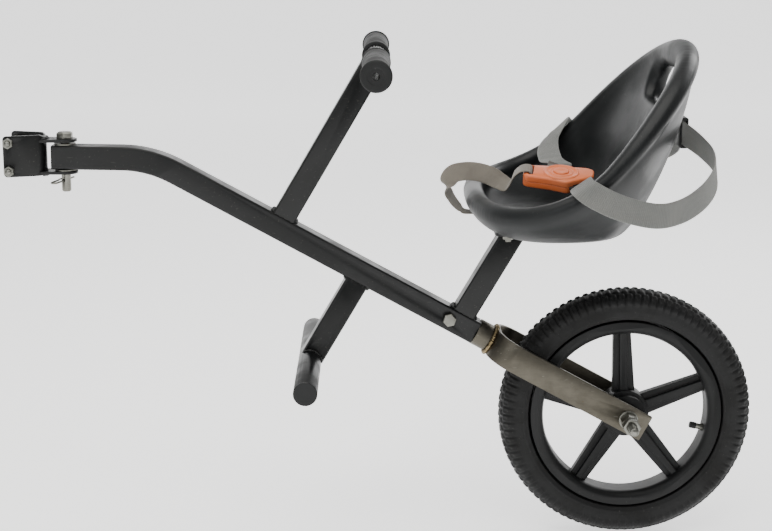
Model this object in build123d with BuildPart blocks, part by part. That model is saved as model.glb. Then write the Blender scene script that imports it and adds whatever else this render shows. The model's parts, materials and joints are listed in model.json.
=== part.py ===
from math import cos, hypot, radians, sin
import os

from build123d import *

os.makedirs("parts", exist_ok=True)

# A child's one-wheel bicycle trailer. Millimetres. The origin is the centre of the seat-post
# clamp, +Z runs up the post, +X points to the rear and the part is symmetric about the XZ plane.

# Frame tube and the boom's bent centre line, in the XZ plane
tube = 25.4
tube_wall = 1.5
tube_corner = 2.4
boom_front = (22.9, -2.6)
boom_vertex = (128.4, -4.5)
boom_angle = 28.75
boom_rear_length = 401.5
boom_bend = 125
post_angle = 59.65

# Seat-post clamp, its ears and the hitch pin
seatpost_r = 13.6
plate = 3.2
clamp_height = 44
clamp_leg = 31
clamp_splay = 16.5
clamp_bolt_x = -19.1
clamp_bolt_rise = 15
pin_x = 36.4
pin_r = 5
pin_bore_r = 5.1
ear_half_width = 13
ear_top_z = 16.8
ear_bottom_z = -20.9
sleeve_r = 7
clip_z = -28.2
clip_angle = 65
clip_tilt = 4
clip_wire_r = 1

# Handlebar and footrest, by their distance from the boom's axis along their posts
handlebar_station = 155.9
handlebar_distance = 210
handlebar_r = 11.1
handlebar_length = 368
grip_inner_y = 37
grip_outer_y = 188
footrest_station = 259.9
footrest_distance = 116
footrest_length = 272
seat_post_station = 379.4

# Fork and wheel, by distance along the boom's axis from its vertex
stem_bolt_station = 368.3
crown_station = 422
axle_station = 591.4
arm_overhang = 22
strap_width = 30
strap_thick = 4
fork_half_width = 38
crown_bend = 28
stem_r = 14.9
spigot_r = 11.1
axle_r = 5
axle_half_length = 83
tyre_r = 140
tyre_half_width = 23.3
flange_r = 105.5
bead_r = 101.5
rim_opening_r = 91
rim_half_width = 19
hub_r = 26
hub_half_length = 23
spoke_count = 5
first_spoke = 21
valve_angle = -13

# Bucket seat
seat_base_z = -80
seat_floor_z = -66
seat_top_z = 123

# Harness
webbing = 25
webbing_thick = 1.6


def along_boom(station, rise=0.0):
    """The XZ point at a distance along the rear boom's axis, and above it."""
    a = radians(boom_angle)
    return (
        boom_vertex[0] + station * cos(a) + rise * sin(a),
        boom_vertex[1] - station * sin(a) + rise * cos(a),
    )


def along_post(station, distance):
    """The XZ point at a distance up a post that leaves the boom's axis at a station."""
    x, z = along_boom(station)
    a = radians(post_angle)
    return x + distance * cos(a), z + distance * sin(a)


def flat(x, z, y=0.0):
    """A plane facing -Y, with X to the right and Z up, moved to a point."""
    return Plane(origin=(x, y, z), x_dir=(1, 0, 0), z_dir=(0, -1, 0))


def axial(x, z):
    """A plane that holds a crosswise axis: its x is the row's Y and its y is the row's Z."""
    return Plane(origin=(x, 0, z), x_dir=(0, 1, 0), z_dir=(1, 0, 0))


def crosswise(x, z):
    """The axis parallel to Y through an XZ point."""
    return Axis((x, 0, z), (0, 1, 0))


def save(name, piece):
    """Labels a finished piece and writes it."""
    piece.part.label = name
    export_step(piece.part, f"parts/{name}.step")


boom_dir = (cos(radians(boom_angle)), 0, -sin(radians(boom_angle)))
boom_up = (sin(radians(boom_angle)), 0, cos(radians(boom_angle)))
post_dir = (cos(radians(post_angle)), 0, sin(radians(post_angle)))
top_point = along_boom(0, tube / 2)
under_point = along_boom(0, -tube / 2)
boom_top = Plane(origin=(top_point[0], 0, top_point[1]), x_dir=(0, 1, 0), z_dir=boom_up)
boom_under = Plane(
    origin=(under_point[0], 0, under_point[1]), x_dir=(0, 1, 0), z_dir=boom_up
)
handlebar_at = along_post(handlebar_station, handlebar_distance)
footrest_at = along_post(footrest_station, -footrest_distance)
wheel_at = along_boom(axle_station)

# ---------------------------------------------------------------- hitch

leg_angle = radians(90 - clamp_splay)
leg_dir = (-sin(leg_angle), cos(leg_angle))


def leg_point(radius, length, side):
    """A point on a clamp leg's face, radius from the post's axis and length past the bend."""
    x = radius * cos(leg_angle) + length * leg_dir[0]
    y = radius * sin(leg_angle) + length * leg_dir[1]
    return x, side * y


clamp_outer_r = seatpost_r + plate
with BuildPart() as clamp_plate:
    with BuildSketch(Plane.XY.offset(-clamp_height / 2)):
        with BuildLine():
            for r in (seatpost_r, clamp_outer_r):
                ThreePointArc(leg_point(r, 0, -1), (r, 0), leg_point(r, 0, 1))
                for side in (-1, 1):
                    Line(leg_point(r, 0, side), leg_point(r, clamp_leg, side))
            for side in (-1, 1):
                Line(
                    leg_point(seatpost_r, clamp_leg, side),
                    leg_point(clamp_outer_r, clamp_leg, side),
                )
        make_face()
    extrude(amount=clamp_height)
    corners = clamp_plate.edges().filter_by(lambda e: abs(e.length - plate) < 0.01)
    fillet(corners.group_by(Axis.X)[0], radius=4)
    # the closed end is cut down towards the ears
    with BuildSketch(Plane.XZ):
        for outline in (
            ((11, 22.1), (17.5, 18), (17.5, 23), (11, 23)),
            ((11, -22.1), (17.5, -21.3), (17.5, -23), (11, -23)),
        ):
            Polygon(*outline, align=None)
    extrude(amount=30, both=True, mode=Mode.SUBTRACT)
    with BuildSketch(flat(clamp_bolt_x, 0)):
        with GridLocations(0, 2 * clamp_bolt_rise, 1, 2):
            Circle(3.3)
    extrude(amount=40, both=True, mode=Mode.SUBTRACT)
save("clamp_plate", clamp_plate)

ears = {"yoke_ear_top": ear_top_z - plate, "yoke_ear_bottom": ear_bottom_z}
ear_parts = []
for name, low in ears.items():
    with BuildPart() as ear:
        with BuildSketch(Plane.XY.offset(low)):
            with Locations((pin_x / 2, 0)):
                Rectangle(pin_x, 2 * ear_half_width)
            with Locations((pin_x, 0)):
                Circle(ear_half_width)
                Circle(pin_bore_r, mode=Mode.SUBTRACT)
            Circle(clamp_outer_r, mode=Mode.SUBTRACT)
            with Locations((-clamp_outer_r, 0)):
                Rectangle(2 * clamp_outer_r, 60, mode=Mode.SUBTRACT)
        extrude(amount=plate)
    ear_parts.append(ear.part)
    save(name, ear)

weld_r = 2.2
weld_arc = 80
weld_start = radians(-weld_arc / 2)
weld_plane = Plane(
    origin=(0, 0, 0),
    x_dir=(cos(weld_start), sin(weld_start), 0),
    z_dir=(sin(weld_start), -cos(weld_start), 0),
)
with BuildPart() as hitch_welds:
    with BuildSketch(weld_plane):
        for z in (ear_top_z, ear_bottom_z):
            with Locations((clamp_outer_r + 0.4, z)):
                Circle(weld_r)
    revolve(axis=Axis.Z, revolution_arc=weld_arc)
    for piece in (clamp_plate.part, *ear_parts):
        add(piece, mode=Mode.SUBTRACT)
save("hitch_welds", hitch_welds)

nut_face_y = 25.2
with BuildPart() as clamp_bolts:
    with BuildSketch(flat(clamp_bolt_x, 0, nut_face_y)):
        with GridLocations(0, 2 * clamp_bolt_rise, 1, 2):
            RegularPolygon(5, 6, major_radius=False, rotation=30)
    extrude(amount=-4)
    bolt_ends = clamp_bolts.faces().sort_by(Axis.Y)[-2:].edges()
    chamfer(bolt_ends, length=0.5)
    with BuildSketch(flat(clamp_bolt_x, 0, nut_face_y)):
        with GridLocations(0, 2 * clamp_bolt_rise, 1, 2):
            Circle(3)
    extrude(amount=nut_face_y + 34)
save("clamp_bolts", clamp_bolts)

with BuildPart() as clamp_nuts:
    with BuildSketch(flat(clamp_bolt_x, 0, -nut_face_y)):
        with GridLocations(0, 2 * clamp_bolt_rise, 1, 2):
            RegularPolygon(5, 6, major_radius=False, rotation=30)
            Circle(3.02, mode=Mode.SUBTRACT)
    extrude(amount=5)
save("clamp_nuts", clamp_nuts)

with BuildPart() as hitch_pin:
    with BuildSketch(Plane.XY.offset(ear_top_z + 0.03)):
        with Locations((pin_x, 0)):
            RegularPolygon(8, 6, major_radius=False, rotation=30)
    extrude(amount=7.3)
    chamfer(hitch_pin.faces().sort_by(Axis.Z)[-1].edges(), length=1.6, length2=1.9)
    with BuildSketch(Plane.XY.offset(-40.8)):
        with Locations((pin_x, 0)):
            Circle(pin_r)
    extrude(amount=40.8 + ear_top_z + 0.03)
    chamfer(hitch_pin.faces().sort_by(Axis.Z)[0].edges(), length=1.3)
    clip_across = (cos(radians(clip_angle)), sin(radians(clip_angle)), 0)
    with BuildSketch(Plane(origin=(pin_x, 0, clip_z), z_dir=clip_across)):
        Circle(1.65)
    extrude(amount=12, both=True, mode=Mode.SUBTRACT)
save("hitch_pin", hitch_pin)

# the straight leg goes through the pin and the other leg springs round it
clip_dir = (
    cos(radians(clip_angle)) * cos(radians(clip_tilt)),
    sin(radians(clip_angle)) * cos(radians(clip_tilt)),
    sin(radians(clip_tilt)),
)
clip_side = (-sin(radians(clip_angle)), cos(radians(clip_angle)), 0)
clip_plane = Plane(
    origin=(pin_x, 0, clip_z),
    x_dir=clip_dir,
    z_dir=Vector(*clip_dir).cross(Vector(*clip_side)),
)
with BuildPart() as r_clip:
    with BuildLine(clip_plane):
        clip_path = FilletPolyline(
            (14, 0),
            (-20, 0),
            (-20, 6.8),
            (-6, 6.8),
            (0, 8.4),
            (6, 6.8),
            (13, 9.6),
            radius=[3.35, 3.35, 5, 5, 5],
        )
    with BuildSketch(Plane(origin=clip_path @ 0, z_dir=clip_path % 0)):
        Circle(clip_wire_r)
    sweep(path=clip_path)
save("r_clip", r_clip)

# ---------------------------------------------------------------- frame


def tube_section(plane):
    """The square tube's section on a plane."""
    inner = tube - 2 * tube_wall
    with BuildSketch(plane, mode=Mode.PRIVATE) as section:
        RectangleRounded(tube, tube, tube_corner)
        RectangleRounded(inner, inner, tube_corner - tube_wall, mode=Mode.SUBTRACT)
    return section.sketch


with BuildPart() as boom_tube:
    with BuildLine(Plane.XZ):
        boom_path = FilletPolyline(
            boom_front, boom_vertex, along_boom(boom_rear_length), radius=boom_bend
        )
    start = Plane(origin=boom_path @ 0, x_dir=(0, 1, 0), z_dir=boom_path % 0)
    sweep(tube_section(start), path=boom_path)
    with BuildSketch(Plane.XY.offset(-30)):
        with Locations((pin_x, 0)):
            Circle(sleeve_r)
    extrude(amount=60, mode=Mode.SUBTRACT)
    with BuildSketch(flat(*along_boom(stem_bolt_station))):
        Circle(4.2)
    extrude(amount=30, both=True, mode=Mode.SUBTRACT)
save("boom_tube", boom_tube)

sleeve_low = -16.4
sleeve_high = 10.4
with BuildPart() as pivot_sleeve:
    with BuildSketch(Plane.XY.offset(sleeve_low)):
        with Locations((pin_x, 0)):
            Circle(sleeve_r)
            Circle(pin_bore_r, mode=Mode.SUBTRACT)
    extrude(amount=sleeve_high - sleeve_low)
save("pivot_sleeve", pivot_sleeve)

with BuildPart() as thrust_washers:
    for low in (sleeve_low - 1.27, sleeve_high + 0.02):
        with BuildSketch(Plane.XY.offset(low)):
            with Locations((pin_x, 0)):
                Circle(11.5)
                Circle(pin_bore_r + 0.1, mode=Mode.SUBTRACT)
        extrude(amount=1.25)
save("thrust_washers", thrust_washers)

post_plane = {
    station: Plane(
        origin=(along_boom(station)[0], 0, along_boom(station)[1]),
        x_dir=(0, 1, 0),
        z_dir=post_dir,
    )
    for station in (handlebar_station, footrest_station, seat_post_station)
}

with BuildPart() as handlebar_post:
    extrude(tube_section(post_plane[handlebar_station]), amount=handlebar_distance)
    split(bisect_by=boom_top, keep=Keep.TOP)
    with BuildSketch(flat(*handlebar_at)):
        Circle(handlebar_r)
    extrude(amount=30, both=True, mode=Mode.SUBTRACT)
    split(bisect_by=boom_top.offset(handlebar_distance - 16), keep=Keep.BOTTOM)
save("handlebar_post", handlebar_post)

with BuildPart() as handlebar_tube:
    with BuildSketch(flat(*handlebar_at)):
        Circle(handlebar_r)
        Circle(handlebar_r - 1.5, mode=Mode.SUBTRACT)
    extrude(amount=handlebar_length / 2, both=True)
save("handlebar_tube", handlebar_tube)

for name, side in (("left_grip", -1), ("right_grip", 1)):
    with BuildPart() as grip:
        with BuildSketch(axial(*handlebar_at)):
            with BuildLine():
                y_in = side * grip_inner_y
                y_end = side * grip_outer_y
                y_bar = side * (handlebar_length / 2 + 0.1)
                Polyline(
                    (y_in, handlebar_r),
                    (y_in, 14.6),
                    (y_in + side * 1, 15.4),
                    (y_in + side * 5, 15.4),
                    (y_in + side * 8, 14.4),
                    (y_end - side * 7, 14.4),
                    (y_end - side * 5.5, 15.9),
                    (y_end - side * 1.5, 15.9),
                    (y_end, 14.6),
                    (y_end, 3.4),
                    (y_bar, 3.4),
                    (y_bar, handlebar_r),
                    close=True,
                )
            make_face()
        revolve(axis=crosswise(*handlebar_at))
    save(name, grip)

with BuildPart() as footrest_post:
    saddle = 5
    extrude(tube_section(post_plane[footrest_station]), amount=saddle - footrest_distance)
    split(bisect_by=boom_under, keep=Keep.BOTTOM)
    with BuildSketch(flat(*footrest_at)):
        Circle(tube / 2)
    extrude(amount=30, both=True, mode=Mode.SUBTRACT)
save("footrest_post", footrest_post)

plug_flange = 1.5
with BuildPart() as footrest_tube:
    with BuildSketch(flat(*footrest_at)):
        Circle(tube / 2)
        Circle(tube / 2 - tube_wall, mode=Mode.SUBTRACT)
    extrude(amount=footrest_length / 2 - plug_flange, both=True)
save("footrest_tube", footrest_tube)

with BuildPart() as footrest_plugs:
    for side in (-1, 1):
        face_y = side * (footrest_length / 2 - plug_flange)
        with BuildSketch(flat(*footrest_at, face_y)):
            Circle(tube / 2)
        extrude(amount=-side * plug_flange)
        with BuildSketch(flat(*footrest_at, face_y)):
            Circle(tube / 2 - tube_wall)
        extrude(amount=side * 14)
    chamfer(
        footrest_plugs.edges().filter_by(GeomType.CIRCLE).group_by(Axis.Y)[0],
        length=0.6,
    )
    chamfer(
        footrest_plugs.edges().filter_by(GeomType.CIRCLE).group_by(Axis.Y)[-1],
        length=0.6,
    )
save("footrest_plugs", footrest_plugs)

seat_plate_thick = 4
with BuildPart() as seat_post:
    extrude(tube_section(post_plane[seat_post_station]), amount=160)
    split(bisect_by=boom_top, keep=Keep.TOP)
    split(bisect_by=Plane.XY.offset(seat_base_z - seat_plate_thick), keep=Keep.BOTTOM)
save("seat_post", seat_post)

seat_bolt_x = 548
seat_bolt_spacing = (70, 50)
with BuildPart() as seat_plate:
    with BuildSketch(Plane.XY.offset(seat_base_z - seat_plate_thick)):
        with Locations((seat_bolt_x, 0)):
            RectangleRounded(100, 80, 10)
            with GridLocations(*seat_bolt_spacing, 2, 2):
                Circle(3.3, mode=Mode.SUBTRACT)
    extrude(amount=seat_plate_thick)
save("seat_plate", seat_plate)

# weld beads fill the corners between the posts and the boom, and ring the crossbars
bead = 3.2
post_welds = (
    (handlebar_station, 1),
    (footrest_station, -1),
    (seat_post_station, 1),
)
lean = radians(post_angle + boom_angle - 90)
with BuildPart() as frame_welds:
    for station, way in post_welds:
        middle = station - way * tube / 2 * sin(lean) / cos(lean)
        for side in (-1, 1):
            at = middle + side * tube / 2 / cos(lean)
            corner = along_boom(at, way * tube / 2)
            along = along_boom(at + side * bead, way * tube / 2)
            up = (
                corner[0] + way * bead * post_dir[0],
                corner[1] + way * bead * post_dir[2],
            )
            with BuildSketch(Plane.XZ):
                Polygon(corner, along, up, align=None)
            extrude(amount=tube / 2 - tube_corner, both=True)
    for at, r, middle in (
        (handlebar_at, handlebar_r, radians(post_angle + 180)),
        (footrest_at, tube / 2, radians(post_angle)),
    ):
        start = middle + radians(65)
        rim = Plane(
            origin=(at[0], 0, at[1]),
            x_dir=(cos(start), 0, sin(start)),
            z_dir=(sin(start), 0, -cos(start)),
        )
        with BuildSketch(rim):
            for side in (-1, 1):
                foot = side * (tube / 2 + 0.02)
                Polygon((r, foot), (r + 2.4, foot), (r, foot + side * 2.4), align=None)
        revolve(axis=crosswise(*at), revolution_arc=130)
save("frame_welds", frame_welds)

# ---------------------------------------------------------------- fork

fork_plane = Plane(
    origin=(along_boom(0)[0], 0, along_boom(0)[1]), x_dir=boom_dir, z_dir=boom_up
)
with BuildPart() as fork_stem:
    stem_start = boom_rear_length + 0.3
    section = Plane(
        origin=(along_boom(stem_start)[0], 0, along_boom(stem_start)[1]),
        x_dir=(0, 1, 0),
        z_dir=boom_dir,
    )
    with BuildSketch(section):
        Circle(stem_r)
        Circle(spigot_r - 2.5, mode=Mode.SUBTRACT)
    extrude(amount=crown_station - stem_start - 0.02)
    with BuildSketch(section):
        Circle(spigot_r)
        Circle(spigot_r - 2.5, mode=Mode.SUBTRACT)
    extrude(amount=-60)
    with BuildSketch(flat(*along_boom(stem_bolt_station))):
        Circle(4.2)
    extrude(amount=30, both=True, mode=Mode.SUBTRACT)
save("fork_stem", fork_stem)

arm_end = axle_station + arm_overhang
with BuildPart() as fork_strap:
    with BuildSketch(fork_plane.offset(-strap_width / 2)):
        with BuildLine():
            for half, front, bend in (
                (fork_half_width, crown_station, crown_bend),
                (
                    fork_half_width - strap_thick,
                    crown_station + strap_thick,
                    crown_bend - strap_thick,
                ),
            ):
                FilletPolyline(
                    (arm_end, -half),
                    (front, -half),
                    (front, half),
                    (arm_end, half),
                    radius=bend,
                )
            for side in (-1, 1):
                Line(
                    (arm_end, side * fork_half_width),
                    (arm_end, side * (fork_half_width - strap_thick)),
                )
        make_face()
    extrude(amount=strap_width)
    with BuildSketch(flat(*wheel_at)):
        Circle(axle_r + 0.2)
    extrude(amount=60, both=True, mode=Mode.SUBTRACT)
    ends = fork_strap.edges().filter_by(lambda e: abs(e.length - strap_thick) < 0.01)
    fillet(ends.group_by(Axis.X)[-1] + ends.group_by(Axis.X)[-2], radius=1)
save("fork_strap", fork_strap)

crown_bead = 3
with BuildPart() as crown_weld:
    spine = Plane(
        origin=(along_boom(crown_station)[0], 0, along_boom(crown_station)[1]),
        x_dir=(0, 1, 0),
        z_dir=boom_up,
    )
    with BuildSketch(spine):
        foot = stem_r + 0.02
        Polygon((foot, 0.02), (foot + crown_bead, 0.02), (foot, crown_bead), align=None)
    revolve(axis=Axis(spine.origin, boom_dir))
save("crown_weld", crown_weld)

bolt_at = along_boom(stem_bolt_station)
with BuildPart() as stem_bolt:
    with BuildSketch(flat(*bolt_at, -tube / 2)):
        RegularPolygon(6.5, 6, major_radius=False, rotation=12)
    extrude(amount=5.3)
    chamfer(stem_bolt.faces().sort_by(Axis.Y)[0].edges(), length=0.6)
    with BuildSketch(flat(*bolt_at, -tube / 2)):
        Circle(4)
    extrude(amount=-(tube + 11))
save("stem_bolt", stem_bolt)

with BuildPart() as stem_nut:
    with BuildSketch(flat(*bolt_at, tube / 2 + 1.6)):
        RegularPolygon(6.5, 6, major_radius=False, rotation=12)
        Circle(4.02, mode=Mode.SUBTRACT)
    extrude(amount=-6.5)
    with BuildSketch(flat(*bolt_at, tube / 2)):
        Circle(8)
        Circle(4.2, mode=Mode.SUBTRACT)
    extrude(amount=-1.58)
save("stem_nut", stem_nut)

# ---------------------------------------------------------------- wheel

wheel_axis = crosswise(*wheel_at)
valve_r = 4


def valve_plane(radius):
    """A plane across the valve, at a radius from the axle and facing outwards."""
    a = radians(valve_angle)
    middle = (wheel_at[0] + radius * cos(a), 0, wheel_at[1] + radius * sin(a))
    return Plane(origin=middle, z_dir=(cos(a), 0, sin(a)))


with BuildPart() as tyre:
    with BuildSketch(axial(*wheel_at)):
        with BuildLine():
            for side in (-1, 1):
                Polyline(
                    (side * 12.5, bead_r + 0.1),
                    (side * 17.1, bead_r + 0.1),
                    (side * 17.1, 107),
                )
                ThreePointArc(
                    (side * 17.1, 107), (side * tyre_half_width, 119), (side * 21, 131)
                )
                ThreePointArc(
                    (side * 12.5, bead_r + 0.1), (side * 19, 119), (side * 16.5, 130)
                )
            ThreePointArc((-21, 131), (0, tyre_r), (21, 131))
            ThreePointArc((-16.5, 130), (0, 135.5), (16.5, 130))
        make_face()
    revolve(axis=wheel_axis)
save("tyre", tyre)

with BuildPart() as inner_tube:
    with BuildSketch(axial(*wheel_at)):
        with Locations((0, 119.5)):
            Circle(14.5)
            Circle(13, mode=Mode.SUBTRACT)
    revolve(axis=wheel_axis)
save("inner_tube", inner_tube)

bearing_r = 13
bearing_width = 8
with BuildPart() as wheel_rim:
    with BuildSketch(axial(*wheel_at)):
        with BuildLine():
            for side in (-1, 1):
                Polyline(
                    (side * 0, 97.5),
                    (side * 8, 97.5),
                    (side * 12, bead_r),
                    (side * 17.2, bead_r),
                    (side * 17.2, flange_r),
                    (side * rim_half_width, flange_r),
                    (side * rim_half_width, 97),
                )
                ThreePointArc(
                    (side * rim_half_width, 97),
                    (side * 15.8, 92.8),
                    (side * 10, rim_opening_r),
                )
            Line((-10, rim_opening_r), (10, rim_opening_r))
        make_face()
    revolve(axis=wheel_axis)
    # the spokes' flat webs, with rounded corners where they meet the rim and the hub
    with BuildSketch(flat(*wheel_at)) as webs:
        Circle(rim_opening_r + 2)
        Circle(rim_opening_r, mode=Mode.SUBTRACT)
        Circle(hub_r)
        with PolarLocations(0, spoke_count, start_angle=first_spoke):
            Polygon((15, -12.5), (92, -9.5), (92, 9.5), (15, 12.5), align=None)
        corners = webs.vertices().filter_by(
            lambda v: hypot(v.X - wheel_at[0], v.Z - wheel_at[1]) < rim_opening_r + 0.5
        )
        fillet(corners, radius=4.5)
    extrude(amount=5, both=True)
    with BuildSketch(flat(*wheel_at)):
        with PolarLocations(0, spoke_count, start_angle=first_spoke):
            Polygon((20, -5), (92, -3.5), (92, 3.5), (20, 5), align=None)
    extrude(amount=10, both=True)
    for radius, half in ((hub_r - 4, hub_half_length), (hub_r, 14)):
        with BuildSketch(flat(*wheel_at)):
            Circle(radius)
        extrude(amount=half, both=True)
    with BuildSketch(flat(*wheel_at)):
        Circle(axle_r + 3)
    extrude(amount=40, both=True, mode=Mode.SUBTRACT)
    for side in (-1, 1):
        with BuildSketch(flat(*wheel_at, side * (hub_half_length + 1))):
            Circle(bearing_r)
        extrude(amount=side * (bearing_width + 1), mode=Mode.SUBTRACT)
    with BuildSketch(valve_plane(85)):
        Circle(valve_r + 0.1)
    extrude(amount=18, mode=Mode.SUBTRACT)
save("wheel_rim", wheel_rim)

with BuildPart() as valve_stem:
    with BuildSketch(valve_plane(97.4)):
        Circle(valve_r)
    extrude(amount=-9)
    with BuildSketch(valve_plane(88.4)):
        Circle(valve_r - 0.8)
    extrude(amount=-5)
save("valve_stem", valve_stem)

with BuildPart() as valve_cap:
    with BuildSketch(valve_plane(83.35)):
        Circle(valve_r - 0.3)
    extrude(amount=-7)
    tip = valve_cap.faces().sort_by_distance((wheel_at[0], 0, wheel_at[1]))[0]
    chamfer(tip.edges(), length=0.8)
save("valve_cap", valve_cap)


def paired_rings(outer_r, bore_r, start, width):
    """The section of two rings on the wheel's axis, a distance out on both sides."""
    with BuildSketch(axial(*wheel_at), mode=Mode.PRIVATE) as section:
        for side in (-1, 1):
            with Locations((side * (start + width / 2), (outer_r + bore_r) / 2)):
                Rectangle(width, outer_r - bore_r)
    return section.sketch


with BuildPart() as bearings:
    bearing_start = hub_half_length - bearing_width
    revolve(
        paired_rings(bearing_r, axle_r + 0.05, bearing_start, bearing_width),
        axis=wheel_axis,
    )
save("bearings", bearings)

with BuildPart() as axle:
    with BuildSketch(flat(*wheel_at)):
        Circle(axle_r)
    extrude(amount=axle_half_length, both=True)
    chamfer(axle.edges().filter_by(GeomType.CIRCLE), length=1)
save("axle", axle)

spacer_start = hub_half_length + 0.06
jam_start = 28
arm_inner = fork_half_width - strap_thick
with BuildPart() as axle_spacers:
    revolve(
        paired_rings(8, axle_r + 0.02, spacer_start, jam_start - spacer_start),
        axis=wheel_axis,
    )
save("axle_spacers", axle_spacers)

# the nuts that hold the axle: thin ones inside the fork, and a long and a lock nut outside
nut_across = 17
washer_end = fork_half_width + 1.62
long_nut = 16
nut_rows = {
    "jam_nuts": (jam_start + 0.01, arm_inner - jam_start - 0.02),
    "axle_nuts": (washer_end, long_nut),
    "axle_lock_nuts": (washer_end + long_nut + 0.02, 11),
}
for turn, (name, (start, height)) in enumerate(nut_rows.items()):
    with BuildPart() as nuts:
        for side in (-1, 1):
            with BuildSketch(flat(*wheel_at, side * start)):
                RegularPolygon(nut_across / 2, 6, major_radius=False, rotation=31 + 13 * turn)
                Circle(axle_r + 0.02, mode=Mode.SUBTRACT)
            extrude(amount=-side * height)
    save(name, nuts)

with BuildPart() as axle_washers:
    revolve(
        paired_rings(10.5, axle_r + 0.2, fork_half_width + 0.01, 1.6), axis=wheel_axis
    )
save("axle_washers", axle_washers)

# ---------------------------------------------------------------- seat


def seat_levels(levels):
    """Rounded rectangles at rising heights, each (z, front x, back x, half width, radius)."""
    sections = []
    for z, front, back, half, radius in levels:
        with BuildSketch(Plane.XY.offset(z), mode=Mode.PRIVATE) as level:
            with Locations(((front + back) / 2, 0)):
                RectangleRounded(back - front, 2 * half, radius)
        sections.append(level.sketch)
    return sections


outer_levels = (
    (seat_base_z, 500, 640, 100, 50),
    (-68, 478, 654, 132, 70),
    (-38, 464, 670, 172, 95),
    (0, 466, 682, 186, 100),
    (50, 482, 697, 179, 100),
    (90, 545, 710, 144, 78),
    (111, 592, 713, 98, 56),
    (seat_top_z, 640, 702, 46, 28),
)
inner_levels = (
    (seat_floor_z, 506, 630, 92, 50),
    (-54, 488, 643, 126, 66),
    (-30, 480, 656, 160, 85),
    (10, 484, 668, 170, 90),
    (55, 505, 682, 158, 86),
    (88, 560, 693, 122, 64),
    (106, 640, 694, 66, 25),
)
handle_z = 71
handle_size = (118, 42)
with BuildPart() as seat_shell:
    loft(seat_levels(outer_levels))
    loft(seat_levels(inner_levels), mode=Mode.SUBTRACT)
    # the rim's line from the side: level at the thighs, then up to the head of the backrest
    with BuildSketch(Plane.XZ):
        with BuildLine():
            FilletPolyline((400, -40.4), (566, -32.5), (694, 128.5), radius=150)
            Polyline((694, 128.5), (694, 180), (400, 180), (400, -40.4))
        make_face()
    extrude(amount=220, both=True, mode=Mode.SUBTRACT)
    with BuildSketch(Plane.YZ.offset(640)):
        with Locations((0, handle_z)):
            RectangleRounded(*handle_size, handle_size[1] / 2 - 0.1)
    extrude(amount=100, mode=Mode.SUBTRACT)
    with BuildSketch(Plane.XY.offset(seat_base_z - 1)):
        with Locations((seat_bolt_x, 0)):
            with GridLocations(*seat_bolt_spacing, 2, 2):
                Circle(3.3)
    extrude(amount=40, mode=Mode.SUBTRACT)
    with BuildSketch(Plane.YZ.offset(450)):
        with Locations((-10, -61.5)):
            RectangleRounded(26, 4.4, 1)
    extrude(amount=70, mode=Mode.SUBTRACT)
save("seat_shell", seat_shell)

seat_floor_thick = seat_floor_z - seat_base_z
with BuildPart() as seat_bolts:
    for r, length in ((7, 2.6), (3, -(seat_floor_thick + seat_plate_thick + 8))):
        with BuildSketch(Plane.XY.offset(seat_floor_z + 0.02)):
            with Locations((seat_bolt_x, 0)):
                with GridLocations(*seat_bolt_spacing, 2, 2):
                    Circle(r)
        extrude(amount=length)
    chamfer(seat_bolts.faces().group_by(Axis.Z)[-1].edges(), length=1.2)
save("seat_bolts", seat_bolts)

with BuildPart() as seat_nuts:
    with BuildSketch(Plane.XY.offset(seat_base_z - seat_plate_thick - 0.01)):
        with Locations((seat_bolt_x, 0)):
            with GridLocations(*seat_bolt_spacing, 2, 2):
                RegularPolygon(5, 6, major_radius=False)
                Circle(3.02, mode=Mode.SUBTRACT)
    extrude(amount=-5.5)
save("seat_nuts", seat_nuts)

# ---------------------------------------------------------------- harness

# the buckle's own plane: x along it, y to its far side and z out of its face
buckle_plane = Plane(
    origin=(562, -62, -17), x_dir=(0.985, -0.16, -0.05), z_dir=(0.011, -0.24, 0.97)
)
buckle_outline = (
    (-37, -11),
    (-32, -15),
    (-8, -19),
    (10, -25),
    (36, -4),
    (36, 13),
    (28, 18),
    (-30, 15),
    (-37, 10),
)
buckle_half = 7
disc_at = (2, -1)
disc_r = 18
button_r = 8
bore_floor = 2.8
button_low = 6.2
button_high = 9.4
slot_x = -29
blade_width = 18
blade_depth = 13
head_width = 31
head_out = 12
tongue_thick = 3
tongue_slot_x = 6


def tongue_plane(x, y, angle):
    """A plane at a tongue's mouth in the buckle's side, whose x points out of the buckle."""
    return Plane(buckle_plane.location * Location((x, y, 0), (0, 0, angle)))


mouths = {"left_tongue": tongue_plane(23.2, -14.7, -51), "right_tongue": tongue_plane(-1, 16.6, 93)}

with BuildPart() as buckle_housing:
    with BuildSketch(buckle_plane.offset(-buckle_half)) as outline:
        Polygon(*buckle_outline, align=None)
        fillet(outline.vertices(), radius=3)
    extrude(amount=2 * buckle_half)
    with BuildSketch(buckle_plane.offset(buckle_half)):
        with Locations(disc_at):
            Circle(disc_r)
            Circle(disc_r - 2, mode=Mode.SUBTRACT)
            Circle(button_r + 2.5)
    extrude(amount=1.2)
    with BuildSketch(buckle_plane.offset(bore_floor)):
        with Locations(disc_at):
            Circle(button_r + 0.15)
    extrude(amount=10, mode=Mode.SUBTRACT)
    for mouth in mouths.values():
        with BuildSketch(mouth.offset(-tongue_thick / 2 - 0.2)):
            with Locations((2 - blade_depth / 2, 0)):
                Rectangle(blade_depth + 5, blade_width + 0.5)
        extrude(amount=tongue_thick + 0.4, mode=Mode.SUBTRACT)
    with BuildSketch(buckle_plane.offset(-10)):
        with Locations((slot_x, 0)):
            RectangleRounded(5, 23.4, 1.5)
    extrude(amount=20, mode=Mode.SUBTRACT)
save("buckle_housing", buckle_housing)

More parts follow.
